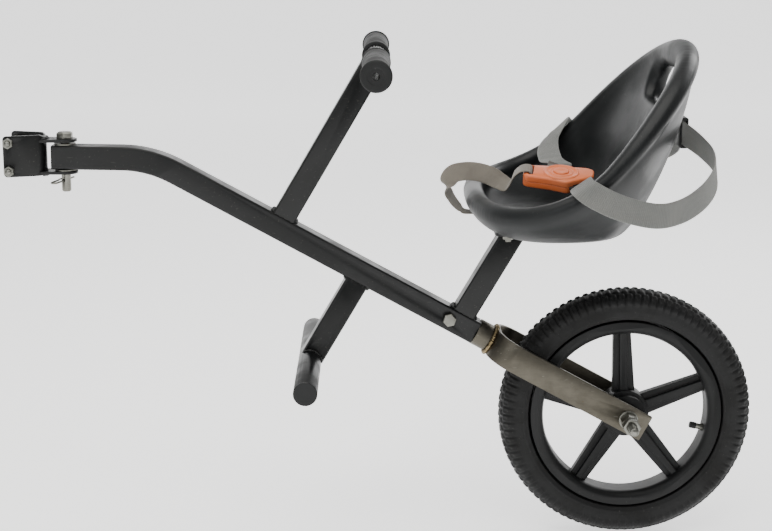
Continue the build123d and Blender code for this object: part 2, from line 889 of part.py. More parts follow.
with BuildPart() as buckle_button:
    with BuildSketch(buckle_plane.offset(button_low)):
        with Locations(disc_at):
            Circle(button_r)
    extrude(amount=button_high - button_low)
    top = buckle_button.edges().filter_by(GeomType.CIRCLE).sort_by(Axis.Z)[-1]
    chamfer(top, length=0.6)
save("buckle_button", buckle_button)

spring_r = 5
spring_wire_r = 0.25
spring_turns = 3
spring_low = bore_floor + spring_wire_r + 0.03
spring_height = button_low - spring_low - spring_wire_r - 0.03
with BuildPart() as button_spring:
    with BuildLine():
        coil = Helix(
            pitch=spring_height / spring_turns, height=spring_height, radius=spring_r
        )
    with BuildSketch(Plane(origin=coil @ 0, z_dir=coil % 0)):
        Circle(spring_wire_r)
    sweep(path=coil, is_frenet=True)
spring_place = buckle_plane.location * Location((*disc_at, spring_low))
button_spring.part = button_spring.part.moved(spring_place)
save("button_spring", button_spring)

for name, mouth in mouths.items():
    with BuildPart() as tongue:
        with BuildSketch(mouth.offset(-tongue_thick / 2)):
            with Locations(((0.5 - blade_depth) / 2, 0)):
                Rectangle(blade_depth + 0.5, blade_width)
            with Locations(((head_out + 0.5) / 2, 0)):
                RectangleRounded(head_out - 0.5, head_width, 2)
            with Locations((tongue_slot_x, 0)):
                RectangleRounded(4.4, webbing + 1, 1, mode=Mode.SUBTRACT)
        extrude(amount=tongue_thick)
    save(name, tongue)


def webbing_sections(route, width):
    """Sections of a strap along a route of (centre, direction of the strap's width)."""
    centres = [Vector(*centre) for centre, _ in route]
    sections = []
    for i, (_, side) in enumerate(route):
        along = centres[min(i + 1, len(route) - 1)] - centres[max(i - 1, 0)]
        across = Vector(*side)
        across = across - along * (across.dot(along) / along.dot(along))
        station = Plane(origin=centres[i], x_dir=across, z_dir=along)
        with BuildSketch(station, mode=Mode.PRIVATE) as section:
            Rectangle(width, webbing_thick)
        sections.append(section.sketch)
    return sections


def tongue_end(name):
    """The end of a lap strap: over the tongue's head and down through its slot."""
    mouth = mouths[name]
    side = mouth.y_dir if mouth.y_dir.X > 0 else -mouth.y_dir
    stops = ((tongue_slot_x, -4), (tongue_slot_x, 1), (8.4, 3.2), (head_out + 2, 4.2))
    return [(tuple(mouth.from_local_coords(Vector(x, 0, z))), tuple(side)) for x, z in stops]


slider_at = (701.1, 23)
lap_routes = {
    "lap_strap_left": [
        ((589, -107, -20), (1, 0, 0.1)),
        ((581, -138, -15), (0.95, 0, 0.3)),
        ((573, -158, -7), (0.82, 0, 0.57)),
        ((573, -187, -7), (0.82, 0, 0.57)),
        ((583, -196, -13), (0.65, 0, 0.75)),
        ((602, -199, -22), (0.35, 0, 0.93)),
        ((624, -198, -31), (0.2, 0, 0.97)),
        ((644, -193, -36), (0.1, 0, 1)),
        ((662, -181, -36), (0, 0, 1)),
        ((679, -162, -31), (-0.1, 0, 1)),
        ((696, -137, -21), (-0.2, -0.1, 1)),
        ((709, -109, -10), (-0.2, -0.2, 1)),
        ((714, -78, 1), (-0.1, -0.3, 1)),
        ((709, -45, 13), (0, -0.3, 1)),
        ((700, -16, 23), (0, 0, 1)),
        ((700, 9, 23), (0, 0, 1)),
    ],
    "lap_strap_right": [
        ((557, 0, -4), (1, 0, 0.15)),
        ((563, 45, -1), (1, 0, 0.2)),
        ((572, 105, 1), (0.92, 0, 0.4)),
        ((581, 145, 4), (0.8, 0, 0.6)),
        ((587, 159, 6.5), (0.75, 0, 0.66)),
        ((590, 185, 7.5), (0.72, 0, 0.7)),
        ((600, 195, -1), (0.6, 0, 0.8)),
        ((617, 199, -13), (0.4, 0, 0.92)),
        ((638, 195, -23), (0.2, 0, 0.97)),
        ((658, 184, -27), (0, 0, 1)),
        ((677, 164, -25), (-0.1, 0, 1)),
        ((694, 138, -18), (-0.2, 0.1, 1)),
        ((706, 109, -8), (-0.2, 0.2, 1)),
        ((710, 78, 3), (-0.1, 0.3, 1)),
        ((707, 45, 14), (0, 0.3, 1)),
        ((702.2, 15, 23), (0, 0, 1)),
        ((702.2, -9, 23), (0, 0, 1)),
    ],
}
for (name, route), tongue_name in zip(lap_routes.items(), mouths):
    with BuildPart() as strap:
        loft(webbing_sections(tongue_end(tongue_name) + route, webbing), ruled=True)
    save(name, strap)

with BuildPart() as strap_slider:
    with BuildSketch(Plane.XZ):
        with Locations(slider_at):
            RectangleRounded(8.6, 33, 2)
            RectangleRounded(5, 26.6, 0.8, mode=Mode.SUBTRACT)
    extrude(amount=11, both=True)
save("strap_slider", strap_slider)

crotch_width = 20
buckle_bar_z = buckle_half + 1.6
crotch_route = [
    ((505, -10, -61), (0, 1, 0)),
    ((470, -10, -62), (0, 1, 0)),
    ((460, -10, -57), (0, 1, 0)),
    ((453, -10, -46), (0, 1, 0)),
    ((450, -10, -32), (0, 1, 0)),
    ((455, -12, -21), (0, 1, 0)),
    ((466, -15, -17), (0.1, 1, 0)),
    ((480, -20, -17), (0.2, 1, 0)),
    ((493, -28, -20), (0.3, 0.9, 0.1)),
    ((503, -37, -25), (0.4, 0.8, 0.3)),
    ((511, -45, -27), (0.35, 0.85, 0.4)),
]
with BuildPart() as crotch_strap:
    ends = ((-47, 0), (-42, 6), (-37, buckle_bar_z), (-31, buckle_bar_z), (slot_x, 5), (slot_x, -5))
    loop = [
        (tuple(buckle_plane.from_local_coords(Vector(x, 0, z))), tuple(buckle_plane.y_dir))
        for x, z in ends
    ]
    loft(webbing_sections(crotch_route + loop, crotch_width), ruled=True)
save("crotch_strap", crotch_strap)
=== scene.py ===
import json
import math
import bmesh
import bpy
import numpy as np
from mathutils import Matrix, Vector


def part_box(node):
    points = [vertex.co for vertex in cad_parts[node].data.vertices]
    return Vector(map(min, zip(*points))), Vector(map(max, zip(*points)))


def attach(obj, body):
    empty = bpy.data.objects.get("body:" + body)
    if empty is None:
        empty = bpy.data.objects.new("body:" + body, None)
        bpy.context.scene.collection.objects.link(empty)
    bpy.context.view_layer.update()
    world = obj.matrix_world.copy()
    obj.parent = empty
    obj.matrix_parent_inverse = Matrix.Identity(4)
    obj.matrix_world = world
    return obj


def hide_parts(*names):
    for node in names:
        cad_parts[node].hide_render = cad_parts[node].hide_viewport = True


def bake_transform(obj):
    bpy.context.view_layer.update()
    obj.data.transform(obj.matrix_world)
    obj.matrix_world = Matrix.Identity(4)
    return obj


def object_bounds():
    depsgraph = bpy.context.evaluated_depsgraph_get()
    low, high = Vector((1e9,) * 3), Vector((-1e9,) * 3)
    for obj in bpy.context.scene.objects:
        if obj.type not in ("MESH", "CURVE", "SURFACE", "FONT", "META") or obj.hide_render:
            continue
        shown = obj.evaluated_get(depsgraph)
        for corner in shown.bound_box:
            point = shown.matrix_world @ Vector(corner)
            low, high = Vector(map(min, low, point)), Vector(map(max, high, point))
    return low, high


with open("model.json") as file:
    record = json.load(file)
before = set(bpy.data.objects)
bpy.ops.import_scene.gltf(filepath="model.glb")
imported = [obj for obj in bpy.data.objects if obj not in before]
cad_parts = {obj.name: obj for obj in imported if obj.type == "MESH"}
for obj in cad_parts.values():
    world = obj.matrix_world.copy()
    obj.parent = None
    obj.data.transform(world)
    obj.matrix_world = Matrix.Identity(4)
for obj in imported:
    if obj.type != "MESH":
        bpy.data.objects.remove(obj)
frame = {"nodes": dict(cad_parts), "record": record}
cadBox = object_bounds()
print("frame loaded:", len(frame["nodes"]), "nodes")

mm = 0.001
bodyOf = {n: b for b, ns in frame["record"]["behaviour"]["bodies"].items() for n in ns}


def middleOf(node):
    low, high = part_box(node)
    return np.array((low + high) / 2)


wheelAt = middleOf("wheel_rim")
handlebarAt = middleOf("handlebar_tube")

# shader groups: each effect is built once and placed in the materials that use it


def newGroup(name, inputs, outputs):
    group = bpy.data.node_groups.new(name, "ShaderNodeTree")
    for label, kind, value in inputs:
        socket = group.interface.new_socket(label, in_out="INPUT", socket_type=kind)
        if value is not None:
            socket.default_value = value
    for label, kind in outputs:
        group.interface.new_socket(label, in_out="OUTPUT", socket_type=kind)
    return group, group.nodes.new("NodeGroupInput"), group.nodes.new("NodeGroupOutput")


def noiseNode(tree, scale, detail=4.0, roughness=0.55):
    node = tree.nodes.new("ShaderNodeTexNoise")
    node.inputs["Scale"].default_value = scale
    node.inputs["Detail"].default_value = detail
    node.inputs["Roughness"].default_value = roughness
    return node


def mathNode(tree, operation, first, second=None, clamp=False):
    node = tree.nodes.new("ShaderNodeMath")
    node.operation = operation
    node.use_clamp = clamp
    for i, value in enumerate((first, second)):
        if value is None:
            continue
        if isinstance(value, (int, float)):
            node.inputs[i].default_value = value
        else:
            tree.links.new(value, node.inputs[i])
    return node.outputs[0]


def rangeNode(tree, value, low, high, outLow=0.0, outHigh=1.0):
    node = tree.nodes.new("ShaderNodeMapRange")
    node.interpolation_type = "SMOOTHSTEP"
    tree.links.new(value, node.inputs["Value"])
    for label, number in zip(("From Min", "From Max", "To Min", "To Max"), (low, high, outLow, outHigh)):
        node.inputs[label].default_value = number
    return node.outputs["Result"]


vectorIn = ("Vector", "NodeSocketVector", None)

# fine pebbled grain, as on moulded plastic or powder coat
grainGroup, into, out = newGroup(
    "mouldGrain",
    [vectorIn, ("Scale", "NodeSocketFloat", 900.0)],
    [("Height", "NodeSocketFloat"), ("Mask", "NodeSocketFloat")],
)
fine = noiseNode(grainGroup, 1.0, 3.0, 0.6)
grainGroup.links.new(into.outputs["Vector"], fine.inputs["Vector"])
grainGroup.links.new(into.outputs["Scale"], fine.inputs["Scale"])
grainGroup.links.new(fine.outputs["Fac"], out.inputs["Height"])
grainGroup.links.new(rangeNode(grainGroup, fine.outputs["Fac"], 0.45, 0.62), out.inputs["Mask"])

# broad uneven patches of handling, dust and fading
patchGroup, into, out = newGroup(
    "handlingPatches",
    [vectorIn, ("Scale", "NodeSocketFloat", 14.0)],
    [("Mask", "NodeSocketFloat"), ("Specks", "NodeSocketFloat")],
)
broad = noiseNode(patchGroup, 1.0, 5.0, 0.6)
patchGroup.links.new(into.outputs["Vector"], broad.inputs["Vector"])
patchGroup.links.new(into.outputs["Scale"], broad.inputs["Scale"])
patchGroup.links.new(rangeNode(patchGroup, broad.outputs["Fac"], 0.38, 0.66), out.inputs["Mask"])
specks = noiseNode(patchGroup, 420.0, 2.0, 0.5)
patchGroup.links.new(into.outputs["Vector"], specks.inputs["Vector"])
patchGroup.links.new(rangeNode(patchGroup, specks.outputs["Fac"], 0.66, 0.74), out.inputs["Specks"])

# thin scratches: a noise drawn out along one direction and cut to its crests
scratchGroup, into, out = newGroup(
    "fineScratches",
    [vectorIn, ("Stretch", "NodeSocketVector", (30.0, 900.0, 900.0))],
    [("Mask", "NodeSocketFloat"), ("Grain", "NodeSocketFloat")],
)
stretch = scratchGroup.nodes.new("ShaderNodeVectorMath")
stretch.operation = "MULTIPLY"
scratchGroup.links.new(into.outputs["Vector"], stretch.inputs[0])
scratchGroup.links.new(into.outputs["Stretch"], stretch.inputs[1])
drawn = noiseNode(scratchGroup, 1.0, 2.0, 0.5)
scratchGroup.links.new(stretch.outputs[0], drawn.inputs["Vector"])
scratchGroup.links.new(rangeNode(scratchGroup, drawn.outputs["Fac"], 0.68, 0.74), out.inputs["Mask"])
scratchGroup.links.new(drawn.outputs["Fac"], out.inputs["Grain"])

# webbing: ribs across the strap and fine yarns along it, from a map in metres
weaveGroup, into, out = newGroup(
    "webbingWeave",
    [vectorIn, ("Pitch", "NodeSocketFloat", 0.0019)],
    [("Height", "NodeSocketFloat"), ("Mask", "NodeSocketFloat")],
)
apart = weaveGroup.nodes.new("ShaderNodeSeparateXYZ")
weaveGroup.links.new(into.outputs["Vector"], apart.inputs[0])
turns = mathNode(weaveGroup, "DIVIDE", apart.outputs[0], into.outputs["Pitch"])
ribs = mathNode(weaveGroup, "SINE", mathNode(weaveGroup, "MULTIPLY", turns, 2 * math.pi))
yarns = mathNode(weaveGroup, "SINE", mathNode(weaveGroup, "MULTIPLY", apart.outputs[1], 2 * math.pi / 0.0009))
offset = mathNode(weaveGroup, "SINE", mathNode(weaveGroup, "MULTIPLY", turns, math.pi))
crossed = mathNode(weaveGroup, "MULTIPLY", offset, yarns)
ribShare = mathNode(weaveGroup, "MULTIPLY", ribs, 0.6)
yarnShare = mathNode(weaveGroup, "MULTIPLY", crossed, 0.4)
both = mathNode(weaveGroup, "ADD", ribShare, yarnShare)
halved = mathNode(weaveGroup, "MULTIPLY", both, 0.5)
weaveGroup.links.new(mathNode(weaveGroup, "ADD", halved, 0.5), out.inputs["Height"])
weaveGroup.links.new(rangeNode(weaveGroup, both, -0.5, 0.7), out.inputs["Mask"])
print("shader groups ready")

# materials


class Finish:
    # a material with its Principled shader, its coordinates and short ways to add to them
    def __init__(
        self, name, colour, roughness, metallic=0.0, coat=0.0, sheen=0.0, coords="Object", shine=0.5
    ):
        self.material = bpy.data.materials.new(name)
        self.material.use_nodes = True
        self.tree = self.material.node_tree
        self.shader = self.tree.nodes["Principled BSDF"]
        self.shader.inputs["Base Color"].default_value = (*colour, 1)
        self.shader.inputs["Roughness"].default_value = roughness
        self.shader.inputs["Metallic"].default_value = metallic
        self.shader.inputs["Coat Weight"].default_value = coat
        self.shader.inputs["Coat Roughness"].default_value = 0.25
        self.shader.inputs["Sheen Weight"].default_value = sheen
        self.shader.inputs["Specular IOR Level"].default_value = shine
        self.where = self.tree.nodes.new("ShaderNodeTexCoord").outputs[coords]
        self.colour = (*colour, 1)
        self.colourFrom = None
        self.normalFrom = None

    def effect(self, group, **values):
        node = self.tree.nodes.new("ShaderNodeGroup")
        node.node_tree = group
        self.tree.links.new(self.where, node.inputs["Vector"])
        for label, value in values.items():
            node.inputs[label].default_value = value
        return node

    def tint(self, mask, colour, amount):
        # mixes a colour in where the mask is white
        mix = self.tree.nodes.new("ShaderNodeMix")
        mix.data_type = "RGBA"
        strength = mathNode(self.tree, "MULTIPLY", mask, amount)
        self.tree.links.new(strength, mix.inputs[0])
        if self.colourFrom is None:
            mix.inputs[6].default_value = self.colour
        else:
            self.tree.links.new(self.colourFrom, mix.inputs[6])
        mix.inputs[7].default_value = (*colour, 1)
        self.colourFrom = mix.outputs[2]
        self.tree.links.new(self.colourFrom, self.shader.inputs["Base Color"])

    def bump(self, height, distance, strength=1.0):
        node = self.tree.nodes.new("ShaderNodeBump")
        node.inputs["Distance"].default_value = distance
        node.inputs["Strength"].default_value = strength
        self.tree.links.new(height, node.inputs["Height"])
        if self.normalFrom is not None:
            self.tree.links.new(self.normalFrom, node.inputs["Normal"])
        self.normalFrom = node.outputs[0]
        self.tree.links.new(self.normalFrom, self.shader.inputs["Normal"])

    def gloss(self, mask, low, high):
        self.tree.links.new(rangeNode(self.tree, mask, 0.0, 1.0, low, high), self.shader.inputs["Roughness"])


def paintFinish():
    paint = Finish("blackPaint", (0.003, 0.0034, 0.0035), 0.36, shine=0.3)
    patches = paint.effect(patchGroup, Scale=16.0)
    scratches = paint.effect(scratchGroup, Stretch=(60.0, 700.0, 700.0))
    grain = paint.effect(grainGroup, Scale=1400.0)
    paint.tint(patches.outputs["Mask"], (0.007, 0.0074, 0.007), 0.7)
    paint.tint(patches.outputs["Specks"], (0.07, 0.066, 0.055), 0.25)
    paint.tint(scratches.outputs["Mask"], (0.05, 0.048, 0.043), 0.3)
    paint.gloss(patches.outputs["Mask"], 0.3, 0.5)
    paint.bump(grain.outputs["Height"], 0.00005, 0.6)
    return paint.material


def steelFinish(name, colour, roughness, stretch, stain):
    steel = Finish(name, colour, roughness, metallic=1.0)
    patches = steel.effect(patchGroup, Scale=22.0)
    scratches = steel.effect(scratchGroup, Stretch=stretch)
    steel.tint(patches.outputs["Mask"], stain, 0.55)
    steel.tint(patches.outputs["Specks"], (0.09, 0.055, 0.03), 0.35)
    steel.tint(scratches.outputs["Mask"], (0.4, 0.38, 0.34), 0.25)
    steel.gloss(scratches.outputs["Grain"], roughness - 0.1, roughness + 0.2)
    steel.bump(scratches.outputs["Grain"], 0.00004, 0.5)
    return steel.material


def rubberFinish(name, colour, roughness, grainScale, dusty):
    rubber = Finish(name, colour, roughness, shine=0.28)
    patches = rubber.effect(patchGroup, Scale=18.0)
    grain = rubber.effect(grainGroup, Scale=grainScale)
    rubber.tint(patches.outputs["Mask"], dusty, 0.6)
    rubber.tint(patches.outputs["Specks"], (0.08, 0.077, 0.07), 0.25)
    rubber.gloss(patches.outputs["Mask"], roughness - 0.1, roughness + 0.12)
    rubber.bump(grain.outputs["Height"], 0.00012, 0.5)
    return rubber.material


def plasticFinish(name, colour, roughness, grainScale, faded, scuffs, shine=0.25):
    plastic = Finish(name, colour, roughness, shine=shine)
    patches = plastic.effect(patchGroup, Scale=9.0)
    scratches = plastic.effect(scratchGroup, Stretch=(500.0, 40.0, 260.0))
    grain = plastic.effect(grainGroup, Scale=grainScale)
    plastic.tint(patches.outputs["Mask"], faded, 0.6)
    plastic.tint(scratches.outputs["Mask"], scuffs, 0.22)
    plastic.gloss(patches.outputs["Mask"], roughness - 0.08, roughness + 0.1)
    plastic.bump(grain.outputs["Height"], 0.00008, 0.5)
    return plastic.material


def webbingFinish(name, colour, worn, pitch, height):
    web = Finish(name, colour, 0.82, sheen=0.3, coords="UV")
    weave = web.effect(weaveGroup, Pitch=pitch)
    patches = web.effect(patchGroup, Scale=26.0)
    web.tint(weave.outputs["Mask"], tuple(min(1.0, c * 1.35) for c in colour), 0.6)
    web.tint(patches.outputs["Mask"], worn, 0.5)
    web.bump(weave.outputs["Height"], height, 0.8)
    return web.material


# colour, roughness, scratch or grain scale, then the stain, fading or scuffs laid over it
steels = {
    "bareSteel": ((0.115, 0.106, 0.086), 0.38, (70.0, 500.0, 500.0), (0.062, 0.056, 0.043)),
    "zincPlate": ((0.25, 0.25, 0.225), 0.34, (420.0, 90.0, 420.0), (0.12, 0.115, 0.095)),
    "platedTube": ((0.5, 0.51, 0.5), 0.22, (600.0, 60.0, 600.0), (0.33, 0.33, 0.31)),
    "weldMetal": ((0.25, 0.19, 0.1), 0.3, (300.0, 300.0, 300.0), (0.1, 0.08, 0.05)),
}
rubbers = {
    "gripRubber": ((0.009, 0.0095, 0.0098), 0.6, 1500.0, (0.015, 0.0155, 0.015)),
    "tyreRubber": ((0.0045, 0.0047, 0.0048), 0.64, 1300.0, (0.0095, 0.0092, 0.0085)),
    "tubeRubber": ((0.008, 0.008, 0.008), 0.6, 900.0, (0.012, 0.012, 0.012)),
}
plastics = {
    "rimPlastic": ((0.005, 0.0054, 0.0056), 0.46, 1100.0, (0.009, 0.0094, 0.009), (0.05, 0.05, 0.046)),
    "seatPlastic": ((0.0062, 0.0072, 0.0076), 0.42, 800.0, (0.0105, 0.012, 0.0122), (0.05, 0.052, 0.05)),
    "trimPlastic": ((0.01, 0.0105, 0.0108), 0.5, 1300.0, (0.015, 0.015, 0.015), (0.05, 0.05, 0.05)),
    "orangePlastic": ((0.74, 0.165, 0.05), 0.4, 900.0, (0.6, 0.2, 0.085), (0.7, 0.38, 0.24), 0.4),
}
webbings = {
    "lapWebbing": ((0.115, 0.118, 0.11), (0.17, 0.17, 0.155), 0.0019, 0.0003),
    "crotchWebbing": ((0.16, 0.142, 0.115), (0.085, 0.075, 0.06), 0.0013, 0.0002),
}
finishes = {"blackPaint": paintFinish()}
for makeFinish, table in (
    (steelFinish, steels), (rubberFinish, rubbers), (plasticFinish, plastics), (webbingFinish, webbings),
):
    for name, values in table.items():
        finishes[name] = makeFinish(name, *values)
print("materials ready:", len(finishes))

# surfaces


def gridQuads(rows, cols, wrapRows, wrapCols):
    # one quad between neighbouring rows and columns
    r = np.arange(rows if wrapRows else rows - 1)[:, None]
    c = np.arange(cols if wrapCols else cols - 1)[None, :]
    nextR, nextC = (r + 1) % rows, (c + 1) % cols
    quads = np.stack([r * cols + c, nextR * cols + c, nextR * cols + nextC, r * cols + nextC], axis=-1)
    return quads.reshape(-1, 4)


def makePiece(name, surfaces, finish, body, replaced=(), maps=None):
    # surfaces are (points[rows, cols, 3], kind)
    # a tube has closed ends, a ring returns to its start, a sheath is open
    points, faces, start = [], [], 0
    for surface, kind in surfaces:
        rows, cols = surface.shape[:2]
        points.append(surface.reshape(-1, 3))
        faces += (gridQuads(rows, cols, kind == "ring", True) + start).tolist()
        if kind == "tube":
            faces.append((start + np.arange(cols)).tolist())
            faces.append((start + (rows - 1) * cols + np.arange(cols))[::-1].tolist())
        start += rows * cols
    mesh = bpy.data.meshes.new(name)
    mesh.from_pydata(np.concatenate(points).tolist(), [], faces)
    if maps is not None:
        corners = np.zeros(len(mesh.loops), np.int32)
        mesh.loops.foreach_get("vertex_index", corners)
        layer = mesh.uv_layers.new(name="strapMap")
        layer.data.foreach_set("uv", maps.reshape(-1, 2)[corners].ravel())
    work = bmesh.new()
    work.from_mesh(mesh)
    bmesh.ops.remove_doubles(work, verts=work.verts, dist=1e-7)
    bmesh.ops.recalc_face_normals(work, faces=work.faces)
    work.to_mesh(mesh)
    work.free()
    mesh.shade_smooth()
    piece = bpy.data.objects.new(name, mesh)
    bpy.context.scene.collection.objects.link(piece)
    mesh.materials.append(finishes[finish])
    if body is not None:
        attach(piece, body)
    if replaced:
        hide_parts(*replaced)
    return piece


def addModifier(piece, kind, **values):
    modifier = piece.modifiers.new(kind.title(), kind)
    for key, value in values.items():
        setattr(modifier, key, value)
    return modifier


def applyModifiers(piece):
    bpy.context.view_layer.update()
    evaluated = piece.evaluated_get(bpy.context.evaluated_depsgraph_get())
    mesh = bpy.data.meshes.new_from_object(evaluated)
    piece.modifiers.clear()
    piece.data = mesh


def blurClosed(values, width):
    # Gaussian blur of a closed row of points
    reach = int(width * 3)
    kernel = np.exp(-0.5 * (np.arange(-reach, reach + 1) / width) ** 2)
    kernel /= kernel.sum()
    padded = np.concatenate([values[-reach:], values, values[:reach]])
    return np.stack([np.convolve(padded[:, i], kernel, "valid") for i in range(values.shape[1])], axis=1)


def resample(points, spacing):
    # equally spaced points along a polyline
    run = np.concatenate([[0], np.cumsum(np.linalg.norm(np.diff(points, axis=0), axis=1))])
    at = np.linspace(0, run[-1], max(2, int(round(run[-1] / spacing)) + 1))
    return np.stack([np.interp(at, run, points[:, i]) for i in range(points.shape[1])], axis=1)


def roundedProfile(corners, spacing, blur):
    # a closed outline resampled evenly, its corners rounded by a blur of that many points
    closed = np.array(list(corners) + [corners[0]], float)
    return blurClosed(resample(closed, spacing)[:-1], blur)


def revolved(profile, centre, segments, wobble=None):
    # profile rows are (y, r) in metres; each turns about the Y axis through the centre
    turn = np.linspace(0, 2 * math.pi, segments, endpoint=False)[None, :]
    y, r = profile[:, 0][:, None], profile[:, 1][:, None]
    if wobble is not None:
        r = r + wobble(y, r, turn)
    across, up = centre[0] + r * np.cos(turn), centre[2] + r * np.sin(turn)
    return np.stack([across, centre[1] + y + 0 * turn, up], axis=-1)


def frameAlong(points):
    # unit tangents of a path and two directions across it, carried along without twist
    tangents = np.gradient(points, axis=0)
    tangents /= np.linalg.norm(tangents, axis=1)[:, None]
    side = np.cross(tangents[0], (0.3, 0.5, 0.8))
    sides = np.zeros_like(tangents)
    for i, along in enumerate(tangents):
        side = side - along * (side @ along)
        side = side / np.linalg.norm(side)
        sides[i] = side
    return tangents, sides, np.cross(tangents, sides)


def tubeAlong(points, radius, segments):
    # a round section of varying radius carried along a path
    _, sides, ups = frameAlong(points)
    turn = np.linspace(0, 2 * math.pi, segments, endpoint=False)[None, :, None]
    r = np.broadcast_to(radius, (len(points),))[:, None, None]
    return points[:, None, :] + r * (np.cos(turn) * sides[:, None, :] + np.sin(turn) * ups[:, None, :])


# structure: welded copies of the CAD nodes with rounded edges

softEdges = {
    "clamp_plate": ("blackPaint", "black_paint", 0.5),
    "yoke_ear_top": ("blackPaint", "black_paint", 0.6),
    "yoke_ear_bottom": ("blackPaint", "black_paint", 0.6),
    "boom_tube": ("blackPaint", "black_paint", 0.3),
    "handlebar_post": ("blackPaint", "black_paint", 0.3),
    "footrest_post": ("blackPaint", "black_paint", 0.3),
    "footrest_tube": ("blackPaint", "black_paint", 0.3),
    "seat_post": ("blackPaint", "black_paint", 0.3),
    "seat_plate": ("blackPaint", "black_paint", 0.6),
    "fork_strap": ("bareSteel", "bare_steel", 0.5),
    "fork_stem": ("bareSteel", "bare_steel", 0.4),
    "clamp_nuts": ("zincPlate", "zinc", 0.3),
    "stem_bolt": ("zincPlate", "zinc", 0.4),
    "stem_nut": ("zincPlate", "zinc", 0.3),
    "jam_nuts": ("zincPlate", "zinc", 0.5),
    "axle_nuts": ("zincPlate", "zinc", 0.5),
    "axle_lock_nuts": ("zincPlate", "zinc", 0.5),
    "axle_washers": ("zincPlate", "zinc", 0.25),
    "hitch_pin": ("zincPlate", "zinc", 0.25),
    "left_tongue": ("trimPlastic", "tongue_plastic", 0.4),
    "right_tongue": ("trimPlastic", "tongue_plastic", 0.4),
    "strap_slider": ("trimPlastic", "black_plastic", 0.5),
    "wheel_rim": ("rimPlastic", "rim_plastic", 0.7),
}


def softened(node, finish, width):
    # the node's triangles are merged, flat facets joined, and edges over 35 degrees rounded
    mesh = frame["nodes"][node].data.copy()
    mesh.name = node + "Soft"
    work = bmesh.new()
    work.from_mesh(mesh)
    bmesh.ops.remove_doubles(work, verts=work.verts, dist=2e-6)
    bmesh.ops.dissolve_limit(work, angle_limit=math.radians(0.4), verts=work.verts, edges=work.edges)
    work.to_mesh(mesh)
    work.free()
    mesh.shade_smooth()
    mesh.materials.clear()
    mesh.materials.append(finishes[finish])
    piece = bpy.data.objects.new(node + "Soft", mesh)
    bpy.context.scene.collection.objects.link(piece)
    addModifier(
        piece, "BEVEL", width=width * mm, segments=2, limit_method="ANGLE",
        angle_limit=math.radians(35), harden_normals=True, use_clamp_overlap=False,
    )
    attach(piece, bodyOf[node])
    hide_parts(node)
    return piece


for node, (finish, slotName, width) in softEdges.items():
    softened(node, finish, width)
print("structure softened:", len(softEdges))

plainNodes = {
    "pivot_sleeve": "blackPaint", "thrust_washers": "zincPlate", "r_clip": "zincPlate",
    "handlebar_tube": "platedTube", "footrest_plugs": "trimPlastic", "inner_tube": "tubeRubber",
    "valve_stem": "zincPlate", "valve_cap": "trimPlastic", "bearings": "zincPlate",
    "axle_spacers": "zincPlate", "seat_bolts": "zincPlate", "seat_nuts": "zincPlate",
    "button_spring": "zincPlate",
}
for node, finish in plainNodes.items():
    mesh = frame["nodes"][node].data
    mesh.materials.clear()
    mesh.materials.append(finishes[finish])

# threaded rods

threads = {"depth": 0.55, "segments": 32, "step": 0.2}


def threadedRod(centre, low, high, radius, pitch, plainTo=None, tip=0.8):
    # r = R - depth * ridge(s / pitch + turn / 2 pi), smooth where the rod is plain, tapered at its tips
    s = np.arange(low, high + 1e-9, threads["step"])[:, None]
    turn = np.linspace(0, 2 * math.pi, threads["segments"], endpoint=False)[None, :]
    ridge = np.abs(((s / pitch + turn / (2 * math.pi)) % 1.0) * 2 - 1)
    r = radius - threads["depth"] * ridge * np.ones_like(turn)
    if plainTo is not None:
        r = np.where(np.abs(s) < plainTo, radius, r)
    ends = np.minimum(s - low, high - s)
    r = r - tip * np.clip(1 - ends / 1.2, 0, 1)
    grid = np.stack([r * np.cos(turn), s + 0 * turn, r * np.sin(turn)], axis=-1)
    return centre + grid * mm


axleLow, axleHigh = (v[1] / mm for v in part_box("axle"))
makePiece(
    "axleRod", [(threadedRod(wheelAt * (1, 0, 1), axleLow, axleHigh, 5.0, 1.5, plainTo=36), "tube")],
    "zincPlate", "trailer", replaced=["axle"],
)


def hexRadius(turn, across):
    # distance from the centre to a hexagon's edge in a direction
    local = turn % (math.pi / 3) - math.pi / 6
    return across / 2 / np.cos(local)


def hexHead(centre, low, high, across, chamfer):
    # a hexagon carried along Y, cut back by a cone at its outer end and closed with rings
    turn = np.linspace(0, 2 * math.pi, 96, endpoint=False)[None, :]
    rim = hexRadius(turn, across)
    lip, inRadius = 0.15, across / 2
    limits = np.array([inRadius + chamfer, across, across, inRadius + 0.1])[:, None]
    s = np.array([low, low + lip, high - chamfer, high])[:, None]
    r = np.minimum(rim, limits)
    grid = np.stack([r * np.cos(turn), s + 0 * turn, r * np.sin(turn)], axis=-1)
    return centre + grid * mm


clampBolts = {
    "x": -19.1, "rise": 15.0, "headFrom": 25.2, "headTo": 29.2, "across": 10.0, "chamfer": 0.7,
    "end": -34.0, "rodTo": 25.3, "radius": 3.0, "pitch": 1.0, "plainTo": 20.0, "tip": 0.5,
}
boltSurfaces = []
for rise in (-clampBolts["rise"], clampBolts["rise"]):
    at = np.array([clampBolts["x"], 0, rise]) * mm
    rod = threadedRod(
        at, clampBolts["end"], clampBolts["rodTo"], clampBolts["radius"], clampBolts["pitch"],
        plainTo=clampBolts["plainTo"], tip=clampBolts["tip"],
    )
    head = hexHead(at, *(clampBolts[key] for key in ("headFrom", "headTo", "across", "chamfer")))
    boltSurfaces += [(rod, "tube"), (head, "tube")]
makePiece("clampBoltSet", boltSurfaces, "zincPlate", "hitch", replaced=["clamp_bolts"])
print("rods and heads ready")

# weld beads: overlapping ripples along a seam

welds = {"ripple": 1.7, "swell": 0.16, "segments": 14, "step": 0.3}


